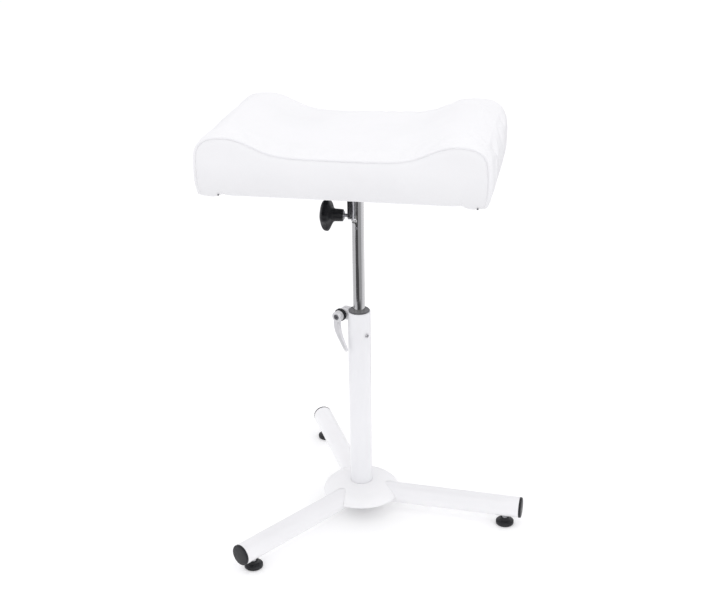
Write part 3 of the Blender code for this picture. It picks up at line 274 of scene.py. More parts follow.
# Dark steel for the lever's screw; on the strap and the corner tacks the same dark finish is painted shade.
DARK_STEEL_AND_PAINTED_SHADE = polished("dark_steel_and_painted_shade", (0.22, 0.22, 0.23), 0.20)
BRIGHT_STEEL = polished("bright_steel_screw", (0.62, 0.62, 0.63), 0.12)
SILVER = cast_metal("silver_lever_metal", (0.80, 0.80, 0.81))
ZINC = zinc("zinc_plate", (0.55, 0.55, 0.57))
BLACK = moulded("black_moulded_plastic", (0.008, 0.0085, 0.011))
GREY = moulded("dark_grey_bush_plastic", (0.11, 0.11, 0.115), 0.16)
NYLON = moulded("natural_nylon", (0.72, 0.72, 0.68), 0.5, 0.05)
FOAM = foam_paint("open_cell_foam", (0.82, 0.76, 0.50))
PLYWOOD = plywood_paint("birch_plywood")
CLOTH = spun_cloth("spun_dust_cloth", (0.035, 0.035, 0.037))

FINISH = {
    "white_leather": WHITE_LEATHER, "foam": FOAM, "black_cloth": CLOTH, "plywood": PLYWOOD,
    "white_coat": WHITE_COAT, "chrome": CHROME, "black_plastic": BLACK, "grey_plastic": GREY,
    "nylon": NYLON, "steel": ZINC,
}
SLOT_OF = {row["node"]: row["material_slot"] for row in frame["record"]["subparts"]}
# The hub's dome and leg_tube_2 take the painted light copy of the white coat; the column takes the painted shade
# copy.
OWN_FINISH = {"lever_arm": SILVER, "lever_screw": DARK_STEEL_AND_PAINTED_SHADE, "bush_screw": BRIGHT_STEEL,
              "hub_cover": PAINTED_LIGHT_COAT, "leg_tube_2": PAINTED_LIGHT_COAT, "column_tube": PAINTED_SHADE_COAT}


WELD_REACH = 0.000005


def split_edges(obj, degrees):
    split = obj.modifiers.new("sharp edges", "EDGE_SPLIT")
    split.split_angle = math.radians(degrees)
    return split


def dress_node(name, obj):
    """A CAD node keeps its shape: it gets its finish and smooth shading between sharp edges."""
    finish = OWN_FINISH.get(name, FINISH[SLOT_OF[name]])
    obj.data.materials.clear()
    obj.data.materials.append(finish)
    for polygon in obj.data.polygons:
        polygon.material_index = 0
        polygon.use_smooth = True
    weld = obj.modifiers.new("weld", "WELD")
    weld.merge_threshold = WELD_REACH
    split_edges(obj, 32).use_edge_sharp = False


for name, obj in NODES.items():
    dress_node(name, obj)


def add_piece(name, mesh, finish, body, slot, *stands_for):
    obj = add_object(name, mesh)
    obj.data.materials.clear()
    obj.data.materials.append(finish)
    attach(obj, body)
    if stands_for:
        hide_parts(*stands_for)
    return obj


# Helpers for the meshes
def stitch(form, rings):
    """Faces between neighbouring rings of equally many points."""
    for first, second in zip(rings, rings[1:]):
        count = len(first)
        for k in range(count):
            form.faces.new((first[k], first[(k + 1) % count], second[(k + 1) % count], second[k]))


def close_ends(form, rings):
    form.faces.new(rings[0][::-1])
    form.faces.new(rings[-1])


def smoothed(mesh):
    for polygon in mesh.polygons:
        polygon.use_smooth = True
    return mesh


def mesh_of(form, name, smooth=True, recalc=True):
    if recalc:
        bmesh.ops.recalc_face_normals(form, faces=form.faces)
    mesh = bpy.data.meshes.new(name)
    form.to_mesh(mesh)
    form.free()
    return smoothed(mesh) if smooth else mesh


def relax(form, factor):
    bmesh.ops.smooth_vert(form, verts=form.verts, factor=factor, use_axis_x=True, use_axis_y=True, use_axis_z=True)


def angles(steps):
    return [2 * math.pi * k / steps for k in range(steps)]


def directions(along):
    """A line's direction and two directions across it."""
    axis = Vector(along).normalized()
    side = axis.orthogonal().normalized()
    return axis, side, axis.cross(side)


def clamped(value):
    return min(1.0, max(0.0, value))


def applied(obj):
    """The object's mesh with its modifiers worked in."""
    graph = bpy.context.evaluated_depsgraph_get()
    return bpy.data.meshes.new_from_object(obj.evaluated_get(graph))


# Cushion, in a frame of its own: the middle of its underside is the origin until it is moved into place.
HALF_X = 0.2080
HALF_Y = 0.1283
BOTTOM = 0.5738
HEIGHT = 0.0850
CROWN = 0.0034
CHAMFER = 0.0040
FACE_SWELL = 0.0016
VOXEL = 0.0045
# Skin lower than this belongs to the underside
UNDERSIDE = 0.004
CLOTH_STEPS = 20
LARGEST_MOVE = 0.0030
CUSHION_Y = AXIS_Y - 0.0010
CUSHION_FOOT = Vector((AXIS_X, CUSHION_Y, BOTTOM))
FOAM_INSET = 0.0034
FOAM_FOOT = 0.0141
# Half sizes of the opening that the wrapped cover leaves on the underside
OPEN_X = 0.1815
OPEN_Y = 0.1100
# Heights of the dust cloth over the floor, on the board and under the cover, and the staples' spacing
DUST_HIGH = 0.5761
DUST_LOW = 0.5733
STAPLE_STEP = 0.033
# Height of the section along its half length, and half length up its height, all as shares
TOP = ((0.000, 0.700), (0.240, 0.702), (0.400, 0.722), (0.490, 0.768), (0.580, 0.855), (0.670, 0.948),
       (0.765, 0.995), (0.850, 0.988), (0.912, 0.952), (0.965, 0.872))
SIDE = ((0.00, 0.982), (0.14, 0.996), (0.38, 1.003), (0.66, 1.001), (0.86, 0.992), (1.00, 0.965))
# Mean of the first and the last value of SIDE
SIDE_ENDS = 0.9735
# Share of the crown over share of the half depth
DEPTH = ((0.00, 1.00), (0.20, 0.99), (0.40, 0.94), (0.58, 0.86), (0.72, 0.74), (0.82, 0.58), (0.89, 0.40),
         (0.935, 0.22))


def smooth_value(table, x):
    """Monotone cubic through the table's points."""
    for k in range(len(table) - 1):
        if x <= table[k + 1][0] or k == len(table) - 2:
            break
    x0, y0 = table[k]
    x1, y1 = table[k + 1]
    slope = (y1 - y0) / (x1 - x0)
    before = (y0 - table[k - 1][1]) / (x0 - table[k - 1][0]) if k > 0 else 0.0
    after = (table[k + 2][1] - y1) / (table[k + 2][0] - x1) if k + 2 < len(table) else slope
    m0 = (before + slope) / 2 if before * slope > 0 else 0.0
    m1 = (slope + after) / 2 if after * slope > 0 else 0.0
    span = x1 - x0
    t = (x - x0) / span
    return ((2 * t ** 3 - 3 * t ** 2 + 1) * y0 + (t ** 3 - 2 * t ** 2 + t) * span * m0
            + (-2 * t ** 3 + 3 * t ** 2) * y1 + (t ** 3 - t ** 2) * span * m1)


ACROSS = 64
UP = 12
EDGE = TOP[-1][0]


def grid_point(i, j):
    u = -1 + 2 * i / ACROSS
    share = j / UP
    x = u * HALF_X * smooth_value(SIDE, share)
    top = smooth_value(TOP, abs(u) * EDGE) * HEIGHT
    return Vector((x, 0, top * share))


def section_loop():
    loop = [(i, UP) for i in range(ACROSS + 1)]
    loop += [(ACROSS, j) for j in range(UP - 1, -1, -1)]
    loop += [(i, 0) for i in range(ACROSS - 1, -1, -1)]
    loop += [(0, j) for j in range(1, UP)]
    return loop


LOOP = section_loop()


def loop_normals():
    points = [grid_point(i, j) for i, j in LOOP]
    count = len(points)
    normals = []
    for index, (i, j) in enumerate(LOOP):
        along = points[(index + 1) % count] - points[index - 1]
        normal = Vector((-along.z, 0, along.x)).normalized()
        if j == 0:
            normal = Vector((math.copysign(1, points[index].x), 0, 0)) if i in (0, ACROSS) else Vector((0, 0, 0))
        normals.append(normal)
    return normals


NORMALS = loop_normals()


def cushion_form(crown):
    """Closed form: section rings from front to rear over the crown, and a slightly swollen face at each side."""
    near = [(-HALF_Y * place, crown * share) for place, share in DEPTH[:0:-1]]
    front = [(-HALF_Y, -CHAMFER - 0.0005), (-HALF_Y + CHAMFER / 2, -CHAMFER / 2 - 0.0002),
             (-HALF_Y + CHAMFER, -0.0005)] + near
    stations = front + [(0, crown)] + [(-y, offset) for y, offset in front[::-1]]
    form = bmesh.new()
    rings = []
    for y, offset in stations:
        ring = []
        for (i, j), normal in zip(LOOP, NORMALS):
            weight = 0.25 if offset > 0 and j < UP else 1.0
            ring.append(form.verts.new(grid_point(i, j) + normal * offset * weight + Vector((0, y, 0))))
        rings.append(ring)
    stitch(form, rings)
    place_of = {place: index for index, place in enumerate(LOOP)}
    for ring, y, side in ((rings[0], stations[0][0], -1), (rings[-1], stations[-1][0], 1)):
        grid = {}
        for i in range(ACROSS + 1):
            for j in range(UP + 1):
                if (i, j) in place_of:
                    grid[i, j] = ring[place_of[(i, j)]]
                    continue
                low = ring[place_of[(i, 0)]].co
                high = ring[place_of[(i, UP)]].co
                share = j / UP
                point = low.lerp(high, share)
                spread = smooth_value(SIDE, share) / SIDE_ENDS
                point.x *= 1 + (spread - 1) * abs(point.x) / HALF_X
                swell = 4 * share * (1 - share) * (1 - (point.x / HALF_X) ** 4)
                point.y = y + side * FACE_SWELL * swell
                grid[i, j] = form.verts.new(point)
        for i in range(ACROSS):
            for j in range(UP):
                corners = (grid[i, j], grid[i + 1, j], grid[i + 1, j + 1], grid[i, j + 1])
                form.faces.new(corners if side < 0 else corners[::-1])
    return mesh_of(form, "cushion_form", smooth=False)


def seam_path(side, out, depth):
    """Points of a seam: up one end, over the top, down the other end."""
    seam = [((i, j), normal) for (i, j), normal in zip(LOOP, NORMALS) if j > 0 or i in (0, ACROSS)]
    path = [grid_point(*place) + normal * out + Vector((0, side * depth, 0)) for place, normal in seam]
    first = [place for place, normal in seam].index((0, 0))
    return path[first:] + path[:first]


def puffed_cushion():
    """Remeshed skin of the cushion, blown up a little between its pinned seams by cloth simulation."""
    obj = add_object("cushion_skin", cushion_form(CROWN))
    remesh = obj.modifiers.new("remesh", "REMESH")
    remesh.mode = "VOXEL"
    remesh.voxel_size = VOXEL
    mesh = applied(obj)
    obj.modifiers.clear()
    obj.data = mesh
    rest = [vert.co.copy() for vert in mesh.vertices]
    pins = obj.vertex_groups.new(name="pins")
    for vert in mesh.vertices:
        seam = max(0.0, 1 - abs(abs(vert.co.y) - (HALF_Y - CHAMFER / 2)) / 0.0055)
        floor = 1.0 if vert.co.z < UNDERSIDE else 0.0
        weight = max(min(1.0, seam * 1.6), floor)
        if weight > 0:
            pins.add([vert.index], weight, "REPLACE")
    cloth = obj.modifiers.new("cloth", "CLOTH")
    settings = cloth.settings
    settings.quality = 6
    settings.mass = 0.25
    settings.tension_stiffness = 18
    settings.compression_stiffness = 12
    settings.shear_stiffness = 8
    settings.bending_stiffness = 1.2
    settings.use_pressure = True
    settings.uniform_pressure_force = 4.0
    settings.vertex_group_mass = "pins"
    settings.shrink_min = -0.012
    settings.effector_weights.gravity = 0.0
    cloth.collision_settings.use_collision = False
    scene = bpy.context.scene
    for step in range(1, CLOTH_STEPS + 1):
        scene.frame_set(step)
    blown = applied(obj)
    moved = [vert.co.copy() for vert in blown.vertices]
    scene.frame_set(1)
    obj.modifiers.clear()
    for vert, start, end in zip(mesh.vertices, rest, moved):
        move = end - start
        if move.length > LARGEST_MOVE:
            move = move.normalized() * LARGEST_MOVE
        vert.co = start + move
    return obj


def bell(x, centre, width):
    return math.exp(-((x - centre) / width) ** 2)


def sculpt(point):
    """Small forms of the sewn cover: hanging lower corners, puckers by the seams, soft unevenness."""
    x, y, z = point
    move = Vector((0, 0, 0))
    face = clamped((abs(y) - HALF_Y + 0.012) / 0.010)
    low = max(0.0, 1 - z / 0.030)
    lobe = bell(abs(x), 0.184, 0.011)
    move.z -= 0.0034 * lobe * low * max(face, 0.25)
    pucker = bell(abs(x), 0.1685, 0.0035)
    move.z += 0.0022 * pucker * low ** 2 * face
    move.y -= math.copysign(0.0022, y) * pucker * low ** 2 * face
    drift = noise.noise(Vector((x, y, z)) * 14) * 0.0006 + noise.noise(Vector((x, y, z)) * 38) * 0.00022
    outward = Vector((x / HALF_X ** 2, y / HALF_Y ** 2, (z - 0.03) / 0.035 ** 2))
    if z > UNDERSIDE:
        move += outward.normalized() * drift
    # The wrapped lower edge stays firm over the board, the ends are fuller and the rear right sits a little higher.
    end = clamped((abs(x) - HALF_X + 0.022) / 0.012)
    edge = max(0.0, 1 - z / 0.011) * max(face, end)
    move.z -= (0.0014 + 0.0012 * end) * edge
    move.y += math.copysign(0.0010, y) * edge * face
    move.x += math.copysign(0.0012 + 0.0008 * (x > 0), x) * end * max(0.0, 1 - z / 0.03)
    move.z += 0.0020 * bell(x, 0.075, 0.07) * clamped((y - 0.02) / 0.08) * (z > 0.02)
    move.z += 0.0030 * (0.5 + x / HALF_X / 2) * (0.5 + y / HALF_Y / 2) * clamped(z / 0.04)
    return point + move


def finish_cushion(obj):
    """The sewn cover: the skin sculpted, opened below over the board and turned in at the opening's rim."""
    mesh = obj.data
    form = bmesh.new()
    form.from_mesh(mesh)
    relax(form, 0.25)
    for vert in form.verts:
        if vert.co.z < 0.0035:
            vert.co.z = max(vert.co.z, 0.0)
        vert.co = sculpt(vert.co)
    # The cover is wrapped round the board's edge and stapled: the middle below stays open.
    inner = [face for face in form.faces
             if all(vert.co.z < UNDERSIDE and abs(vert.co.x) < OPEN_X and abs(vert.co.y) < OPEN_Y
                    for vert in face.verts)]
    bmesh.ops.delete(form, geom=inner, context="FACES")
    for vert in form.verts:
        if any(edge.is_boundary for edge in vert.link_edges):
            if OPEN_X - abs(vert.co.x) < OPEN_Y - abs(vert.co.y):
                vert.co.x = math.copysign(OPEN_X, vert.co.x)
            else:
                vert.co.y = math.copysign(OPEN_Y, vert.co.y)
    rim = [edge for edge in form.edges if edge.is_boundary]
    lifted = bmesh.ops.extrude_edge_only(form, edges=rim)["geom"]
    for element in lifted:
        if isinstance(element, bmesh.types.BMVert):
            element.co.z += 0.0012
    bmesh.ops.recalc_face_normals(form, faces=form.faces)
    form.to_mesh(mesh)
    form.free()
    subdivide = obj.modifiers.new("subdivide", "SUBSURF")
    subdivide.levels = 1
    subdivide.render_levels = 1
    done = applied(obj)
    obj.modifiers.clear()
    done.transform(Matrix.Translation(CUSHION_FOOT))
    bpy.data.objects.remove(obj)
    return smoothed(done)


def shrunk_foam(skin):
    """The foam block: the skin's own form drawn in under the cover and cut off flat on the board."""
    form = bmesh.new()
    form.from_mesh(skin)
    relax(form, 0.5)
    form.normal_update()
    for vert, move in [(vert, vert.normal * FOAM_INSET) for vert in form.verts]:
        vert.co -= move
    cut = bmesh.ops.bisect_plane(
        form, geom=form.verts[:] + form.edges[:] + form.faces[:], plane_co=(0, 0, FOAM_FOOT), plane_no=(0, 0, 1),
        clear_inner=True)
    rim = [item for item in cut["geom_cut"] if isinstance(item, bmesh.types.BMEdge)]
    bmesh.ops.contextual_create(form, geom=rim)
    mesh = mesh_of(form, "foam_block", smooth=False)
    mesh.transform(Matrix.Translation(CUSHION_FOOT))
    for polygon in mesh.polygons:
        polygon.use_smooth = polygon.normal.z > -0.9
    return mesh


SKIN = puffed_cushion()
foam_block = add_piece("foam_block", shrunk_foam(SKIN.data), FOAM, "tilt", "foam", "foam_core")
cushion = add_piece("cushion_upholstery", finish_cushion(SKIN), WHITE_LEATHER, "tilt", "white_leather",
                    "cushion_cover")


def staple_wave(place):
    return math.sin(abs(place) * 2 * math.pi / STAPLE_STEP)


def dust_sheet():
    """Thin cloth stapled over the cover's turned-in edge: it lies on the board and dips between staples."""
    half_x, half_y = OPEN_X + 0.0070, OPEN_Y + 0.0070
    columns, rows = 84, 52
    form = bmesh.new()
    grid = []
    for j in range(rows + 1):
        row = []
        for i in range(columns + 1):
            x = half_x * (-1 + 2 * i / columns)
            y = half_y * (-1 + 2 * j / rows)
            over = max(abs(x) - OPEN_X, abs(y) - OPEN_Y)
            lie = clamped(1 + over / 0.006)
            ripple = 0.00022 * staple_wave(x) * staple_wave(y)
            sag = 0.0008 * (1 - lie) * (noise.noise(Vector((x, y, 0)) * 16) * 0.5 + 0.5)
            clear = clamped(max(abs(x) - 0.062, abs(y) - 0.052) / 0.02)
            z = DUST_HIGH - lie * (DUST_HIGH - DUST_LOW) - (sag + max(0.0, ripple)) * clear
            row.append(form.verts.new((x, y, z)))
        grid.append(row)
    for j in range(rows):
        for i in range(columns):
            form.faces.new((grid[j][i], grid[j + 1][i], grid[j + 1][i + 1], grid[j][i + 1]))
    mesh = mesh_of(form, "dust_sheet", recalc=False)
    mesh.transform(Matrix.Translation((AXIS_X, CUSHION_Y, 0)))
    return mesh


dust = add_piece("dust_sheet", dust_sheet(), CLOTH, "tilt", "black_cloth", "dust_cloth")
thin = dust.modifiers.new("cloth thickness", "SOLIDIFY")
thin.thickness = 0.0004
thin.offset = 0.0


def staples():
    """A row of flat wire staples round the edge of the dust cloth."""
    form = bmesh.new()
    reach = 0.0048
    wire = 0.0011
    out = 0.0032
    inset = 0.004
    stations = [(-reach, -0.0006), (-reach, -0.0001), (-reach + wire * 0.6, 0.0004), (-reach + wire * 1.4, 0.0006),
                (reach - wire * 1.4, 0.0006), (reach - wire * 0.6, 0.0004), (reach, -0.0001), (reach, -0.0006)]
    places = []
    for side in (-1, 1):
        count = int(2 * OPEN_X / STAPLE_STEP)
        for k in range(count + 1):
            x = -OPEN_X + inset + (2 * OPEN_X - 2 * inset) * k / count
            places.append((x, side * (OPEN_Y + out), 0.0))
        count = int(2 * OPEN_Y / STAPLE_STEP)
        for k in range(1, count):
            y = -OPEN_Y + 2 * OPEN_Y * k / count
            places.append((side * (OPEN_X + out), y, math.pi / 2))
    for index, (x, y, turn) in enumerate(places):
        lean = turn + 0.06 * math.sin(index * 2.4)
        rings = []
        for along, drop in stations:
            ring = []
            for across, high in ((-wire / 2, 0.0), (wire / 2, 0.0), (wire / 2, 0.0005), (-wire / 2, 0.0005)):
                px = along * math.cos(lean) - across * math.sin(lean)
                py = along * math.sin(lean) + across * math.cos(lean)
                ring.append(form.verts.new((x + px, y + py, DUST_LOW - 0.0002 - drop - high * 0.8)))
            rings.append(ring)
        stitch(form, rings)
        close_ends(form, rings)
    mesh = mesh_of(form, "staples", smooth=False)
    mesh.transform(Matrix.Translation((AXIS_X, CUSHION_Y, 0)))
    return mesh


add_piece("dust_staples", staples(), ZINC, "tilt", "steel")


def tube_piece(name, path, radius, finish, body, slot, *stands_for):
    """A round cord along a path, with closed ends."""
    curve = bpy.data.curves.new(name, "CURVE")
    curve.dimensions = "3D"
    curve.bevel_depth = radius
    curve.bevel_resolution = 4
    curve.use_fill_caps = True
    curve.resolution_u = 3
    spline = curve.splines.new("NURBS")
    spline.points.add(len(path) - 1)
    for target, point in zip(spline.points, path):
        target.co = (*point, 1.0)
    spline.order_u = 4
    spline.use_endpoint_u = True
    guide = add_object(name + "_guide", curve)
    bpy.context.view_layer.update()
    mesh = smoothed(applied(guide))
    bpy.data.objects.remove(guide)
    return add_piece(name, mesh, finish, body, slot, *stands_for)


for name, side in (("front", -1), ("rear", 1)):
    path = [point + CUSHION_FOOT for point in seam_path(side, -0.0017, HALF_Y - 0.0018)]
    tube_piece("piping_cord_" + name, path, 0.0020, PIPING_LEATHER, "tilt", "white_leather", "piping_" + name)


# Star knob: a finer form of the same five-lobed profile, with a groove round the middle of its end face.
TILT_HEIGHT = 0.5065
KNOB_NEAR = -0.0220
KNOB_LENGTH = 0.0352
KNOB_RADIUS = 0.0228
KNOB_PHASE = math.radians(-22)
LOBE_DEPTH = 0.0019
# Share of the length, share of the radius, share of the lobes' depth
KNOB_PROFILE = ((0.000, 0.355, 0.00), (0.012, 0.395, 0.00), (0.030, 0.408, 0.00), (0.360, 0.425, 0.05),
                (0.420, 0.470, 0.15), (0.480, 0.620, 0.45), (0.540, 0.820, 0.85), (0.585, 0.930, 1.00),
                (0.620, 0.985, 1.05), (0.660, 1.010, 1.05), (0.740, 1.008, 1.00), (0.800, 0.975, 0.95),
                (0.860, 0.900, 0.80), (0.905, 0.800, 0.62), (0.945, 0.660, 0.40), (0.972, 0.500, 0.20),
                (0.982, 0.430, 0.05), (0.974, 0.405, 0.00), (0.974, 0.380, 0.00), (0.984, 0.360, 0.00),
                (0.996, 0.200, 0.00))


def stud_ring(form, x, radius, steps):
    """Points round the line of the knob's stud."""
    return [form.verts.new((x, AXIS_Y + radius * math.sin(angle), TILT_HEIGHT - radius * math.cos(angle)))
            for angle in angles(steps)]


def star_knob():
    form = bmesh.new()
    steps = 100
    rings = []
    for place, radius, lobe in KNOB_PROFILE:
        ring = []
        for angle in angles(steps):
            wave = math.cos(5 * (angle - KNOB_PHASE))
            wave = math.copysign(abs(wave) ** 0.8, wave)
            reach = KNOB_RADIUS * radius + LOBE_DEPTH * lobe * wave
            ring.append(form.verts.new((AXIS_X + KNOB_NEAR - KNOB_LENGTH * place, AXIS_Y + reach * math.sin(angle),
                                        TILT_HEIGHT - reach * math.cos(angle))))
        rings.append(ring)
    stitch(form, rings)
    end = form.verts.new((AXIS_X + KNOB_NEAR - KNOB_LENGTH, AXIS_Y, TILT_HEIGHT))
    for k in range(steps):
        form.faces.new((rings[-1][k], rings[-1][(k + 1) % steps], end))
    # The neck's end face has a recess round the stud's hole.
    inner = [stud_ring(form, AXIS_X + KNOB_NEAR - KNOB_LENGTH * place, radius, steps) for radius, place in (
        (0.0070, 0.0), (0.0064, 0.010), (0.0046, 0.012), (0.0044, 0.0), (0.00325, 0.0), (0.00325, 0.2))]
    for first, second in zip([rings[0]] + inner, inner):
        for k in range(steps):
            form.faces.new((first[k], second[k], second[(k + 1) % steps], first[(k + 1) % steps]))
    form.faces.new(inner[-1])
    return mesh_of(form, "star_knob")


knob = add_piece("star_knob", star_knob(), BLACK, "knob", "black_plastic", "knob_head")
split_edges(knob, 40)


def threaded_rod(base, direction, radius, pitch, low, high, root=0.86):
    """A screw thread about a line: rings that climb by one pitch a turn, between two plain ends."""
    form = bmesh.new()
    steps = 20
    axis, side, other = directions(direction)
    levels = int((high - low) / pitch * 5)
    rings = []
    for level in range(levels + 1):
        ring = []
        along = low + (high - low) * level / levels
        for k, angle in enumerate(angles(steps)):
            phase = (along / pitch - k / steps) % 1.0
            crest = 1.0 if phase < 0.2 else max(0.0, 1 - abs(phase - 0.1) / 0.42)
            fade = min(1.0, (along - low) / pitch, (high - along) / pitch)
            reach = radius * (root + (1 - root) * crest * max(0.0, fade))
            ring.append(form.verts.new(
                Vector(base) + axis * along + (side * math.cos(angle) + other * math.sin(angle)) * reach))
        rings.append(ring)
    stitch(form, rings)
    close_ends(form, rings)
    return form


def add_turned(form, base, direction, profile, steps=32):
    """A turned solid about a line, from (distance along, radius) pairs."""
    axis, side, other = directions(direction)
    rings = []
    for along, radius in profile:
        rings.append([form.verts.new(
            Vector(base) + axis * along + (side * math.cos(angle) + other * math.sin(angle)) * radius)
            for angle in angles(steps)])
    stitch(form, rings)
    close_ends(form, rings)


for index in (1, 2, 3):
    low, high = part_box(f"glide_stud_{index}")
    centre = ((low[0] + high[0]) / 2, (low[1] + high[1]) / 2, 0)
    form = threaded_rod(centre, (0, 0, 1), 0.0040, 0.00125, 0.0090, 0.0350)
    add_turned(form, centre, (0, 0, 1), ((0.0035, 0.0048), (0.0037, 0.0050), (0.0083, 0.0050), (0.0085, 0.0048)), 24)
    stud = add_piece(f"threaded_glide_stud_{index}", mesh_of(form, "glide_stud"), ZINC, f"glide_{index}", "steel",
                     f"glide_stud_{index}")
    split_edges(stud, 45)

form = threaded_rod((AXIS_X, AXIS_Y, TILT_HEIGHT), (1, 0, 0), 0.0030, 0.0010, -0.0385, 0.0024)
add_piece("threaded_knob_stud", mesh_of(form, "knob_stud"), ZINC, "knob", "steel", "knob_stud")


# Dark tack heads at the lower corners of the cover, front and rear: painted shadow, dark marks for the small shadows
# under the hanging corners.
form = bmesh.new()
for side in (-1, 1):
    for x, z in ((-0.174, 0.5736), (0.192, 0.5716)):
        add_turned(form, (AXIS_X + x, CUSHION_Y + side * 0.1293, z), (0, side, -0.5),
                   ((-0.0014, 0.0011), (0.0001, 0.0012), (0.0004, 0.0010), (0.0006, 0.0006), (0.0007, 0.0002)), 16)
add_piece("painted_shadow_tacks", mesh_of(form, "painted_shadow_tacks"), DARK_STEEL_AND_PAINTED_SHADE, "tilt", "steel")


# Tilt joint: a half-round tongue in line with the post, and a plain strap beside it.
TONGUE_TOP = 0.5711
TONGUE_FLAT = 0.0010
TONGUE_REACH = 0.0093
NOSE = 0.0085


def tilt_tongue():
    """Half-round bar with a round lower end: its flat side faces the remaining half of the post."""
    form = bmesh.new()
    steps = 28
    outer, inner = [], []
    levels = (0.0, 0.03, 0.10, 0.25, 0.50, 0.97, 1.0)
    for k in range(steps + 1):
        angle = math.pi * (k / steps - 0.5)
        y = NOSE * math.sin(angle)
        foot = TILT_HEIGHT - math.sqrt(max(0.0, NOSE ** 2 - y ** 2))
        column = []
        for share in levels:
            tuck = 0.0005 * (1 - min(1.0, share / 0.03)) + 0.0005 * max(0.0, share - 0.97) / 0.03
            x = -TONGUE_FLAT - (TONGUE_REACH - tuck) * math.cos(angle)
            column.append(form.verts.new((AXIS_X + x, AXIS_Y + y, foot + (TONGUE_TOP - foot) * share)))
        outer.append(column)
        inner.append([form.verts.new((AXIS_X - TONGUE_FLAT, AXIS_Y + y, foot + (TONGUE_TOP - foot) * share))
                      for share in levels] if 0 < k < steps else column)
    for k in range(steps):
        for level in range(len(levels) - 1):
            form.faces.new((outer[k][level], outer[k + 1][level], outer[k + 1][level + 1], outer[k][level + 1]))
            form.faces.new((inner[k][level], inner[k][level + 1], inner[k + 1][level + 1], inner[k + 1][level]))
        for level in (0, len(levels) - 1):
            ring = []
            for vert in (outer[k][level], outer[k + 1][level], inner[k + 1][level], inner[k][level]):
                if vert not in ring:
                    ring.append(vert)
            form.faces.new(ring)
    return mesh_of(form, "tilt_tongue")


def tilt_strap():
    """Flat bar with a round lower end, broken edges and a hole for the knob's stud."""
    form = bmesh.new()
    half, hole, steps = 0.0058, 0.0032, 64
    top = TONGUE_TOP - TILT_HEIGHT

    def outline(shrink):
        points = []
        for angle in angles(steps):
            y, z = math.sin(angle), -math.cos(angle)
            if z <= 0:
                reach = half - shrink
            else:
                reach = min((half - shrink) / max(abs(y), 1e-6), (top - shrink) / max(z, 1e-6))
            points.append((reach * y, reach * z))
        return points

    rings = []
    for depth, shrink in ((-0.0107, 0.0006), (-0.0110, 0.0002), (-0.0113, 0.0), (-0.0141, 0.0), (-0.0144, 0.0002),
                          (-0.0147, 0.0006)):
        rings.append([form.verts.new((AXIS_X + depth, AXIS_Y + y, TILT_HEIGHT + z)) for y, z in outline(shrink)])
    for depth, extra in ((-0.0147, 0.0003), (-0.0144, 0.0), (-0.0110, 0.0), (-0.0107, 0.0003)):
        rings.append(stud_ring(form, AXIS_X + depth, hole + extra, steps))
    stitch(form, rings + rings[:1])
    return mesh_of(form, "tilt_strap")


# The strap, a chrome part, wears the dark finish: painted shade, for the cushion's shade over it and the dark
# surroundings it reflects.
for name, mesh, finish, node in (("tilt_half_tongue", tilt_tongue(), SATIN_CHROME, "tilt_tongue"),
                                 ("tilt_strap", tilt_strap(), DARK_STEEL_AND_PAINTED_SHADE, "tilt_ear")):
    bar = add_piece(name, mesh, finish, "tilt", "chrome", node)
    split_edges(bar, 35)


# Floor, light and surroundings
def add_stage(name, points, paint, seen=True):
    mesh = bpy.data.meshes.new(name)
    mesh.from_pydata(points, [], [tuple(range(len(points)))])
    obj = add_object(name, mesh)
    obj.data.materials.append(paint.material)
    if not seen:
        # These cards only show in polished metal, as the dark parts of a studio do.
        obj.visible_camera = False
        obj.visible_diffuse = False
        obj.visible_shadow = False
        obj.visible_transmission = False


FLOOR_HALF = 9
FLOOR_Z = -0.0006
CARD_NEAR = 0.45
CARD_SPLIT = 0.86
CARD_FAR = 7.0
CARD_PARTS = 10
DARK_SHADE = 0.03
DARK_HEIGHT = 0.004


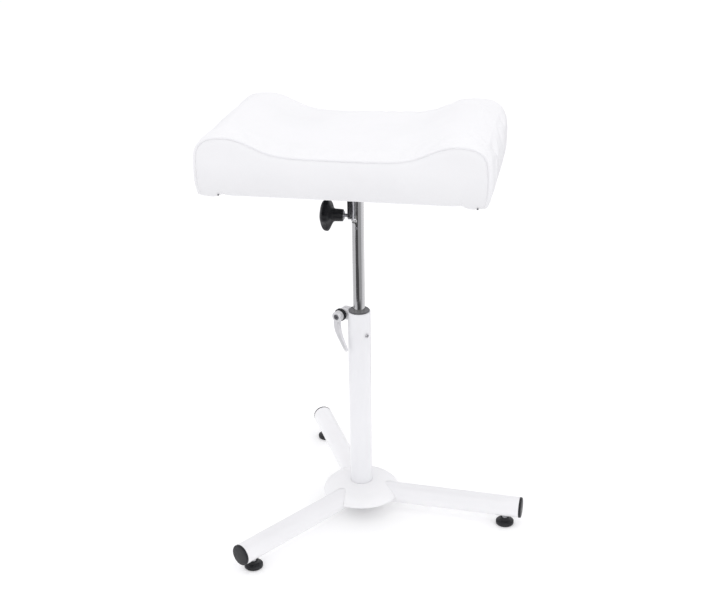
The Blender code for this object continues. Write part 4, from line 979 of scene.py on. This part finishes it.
def card(name, near, far, first, last, shade, height=0.003):
    """A curved card on the floor: distances from the column, bearings from the camera's side."""
    bearings = [first + (last - first) * k / CARD_PARTS for k in range(CARD_PARTS + 1)]
    points = []
    for reach, order in ((near, bearings), (far, bearings[::-1])):
        for bearing in order:
            angle = math.radians(bearing) + CAMERA_AZIMUTH - math.pi / 2
            points.append((AXIS_X + reach * math.cos(angle), AXIS_Y + reach * math.sin(angle), height))
    add_stage(name, points, Paint(name, (shade, shade, shade * 1.04), 0.9), seen=False)


add_stage("floor", [(x * FLOOR_HALF, y * FLOOR_HALF, FLOOR_Z) for x, y in ((-1, -1), (1, -1), (1, 1), (-1, 1))],
          Paint("pale_floor", (0.80, 0.80, 0.80), 0.95).set(
              Emission_Color=(1.0, 1.0, 1.0, 1.0), Emission_Strength=0.27, Specular_IOR_Level=0.1))
card("grey_card_left", CARD_NEAR, CARD_FAR, -130, -30, 0.50)
card("grey_card_right", CARD_NEAR, CARD_FAR, -5, 66, 0.28)
card("pale_card_right", CARD_NEAR, CARD_FAR, 67, 120, 0.58)
card("dark_card_near", CARD_NEAR, CARD_SPLIT, -34, 34, DARK_SHADE, DARK_HEIGHT)
card("dark_card_far", CARD_SPLIT, CARD_FAR, -56, 9, DARK_SHADE, DARK_HEIGHT)
card("grey_card_behind", CARD_NEAR, CARD_FAR, 140, 215, 0.35)
card("dark_card_behind", CARD_NEAR, CARD_FAR, 158, 190, DARK_SHADE, DARK_HEIGHT)


def add_light(name, place, target, size, power, colour=(1, 1, 1)):
    data = bpy.data.lights.new(name, "AREA")
    data.shape = "RECTANGLE"
    data.size, data.size_y = size
    data.energy = power
    data.color = colour
    obj = add_object(name, data)
    obj.location = place
    obj.rotation_euler = (Vector(target) - Vector(place)).to_track_quat("-Z", "Y").to_euler()


def add_world():
    world = bpy.data.worlds.new("studio")
    bpy.context.scene.world = world
    world.use_nodes = True
    background = world.node_tree.nodes["Background"]
    background.inputs["Color"].default_value = (0.975, 0.970, 1.0, 1)
    background.inputs["Strength"].default_value = 0.97
    bpy.context.scene.view_settings.view_transform = "Standard"


add_world()
add_light("overhead", (0.2, -0.4, 2.8), (0, 0, 0.4), (3.0, 3.0), 13, (1.0, 1.0, 0.92))
add_light("left", (-2.2, -1.4, 1.6), (0, 0, 0.4), (1.6, 1.8), 3)
add_light("right", (2.4, -0.8, 1.5), (0, 0, 0.4), (1.6, 1.8), 3.5)
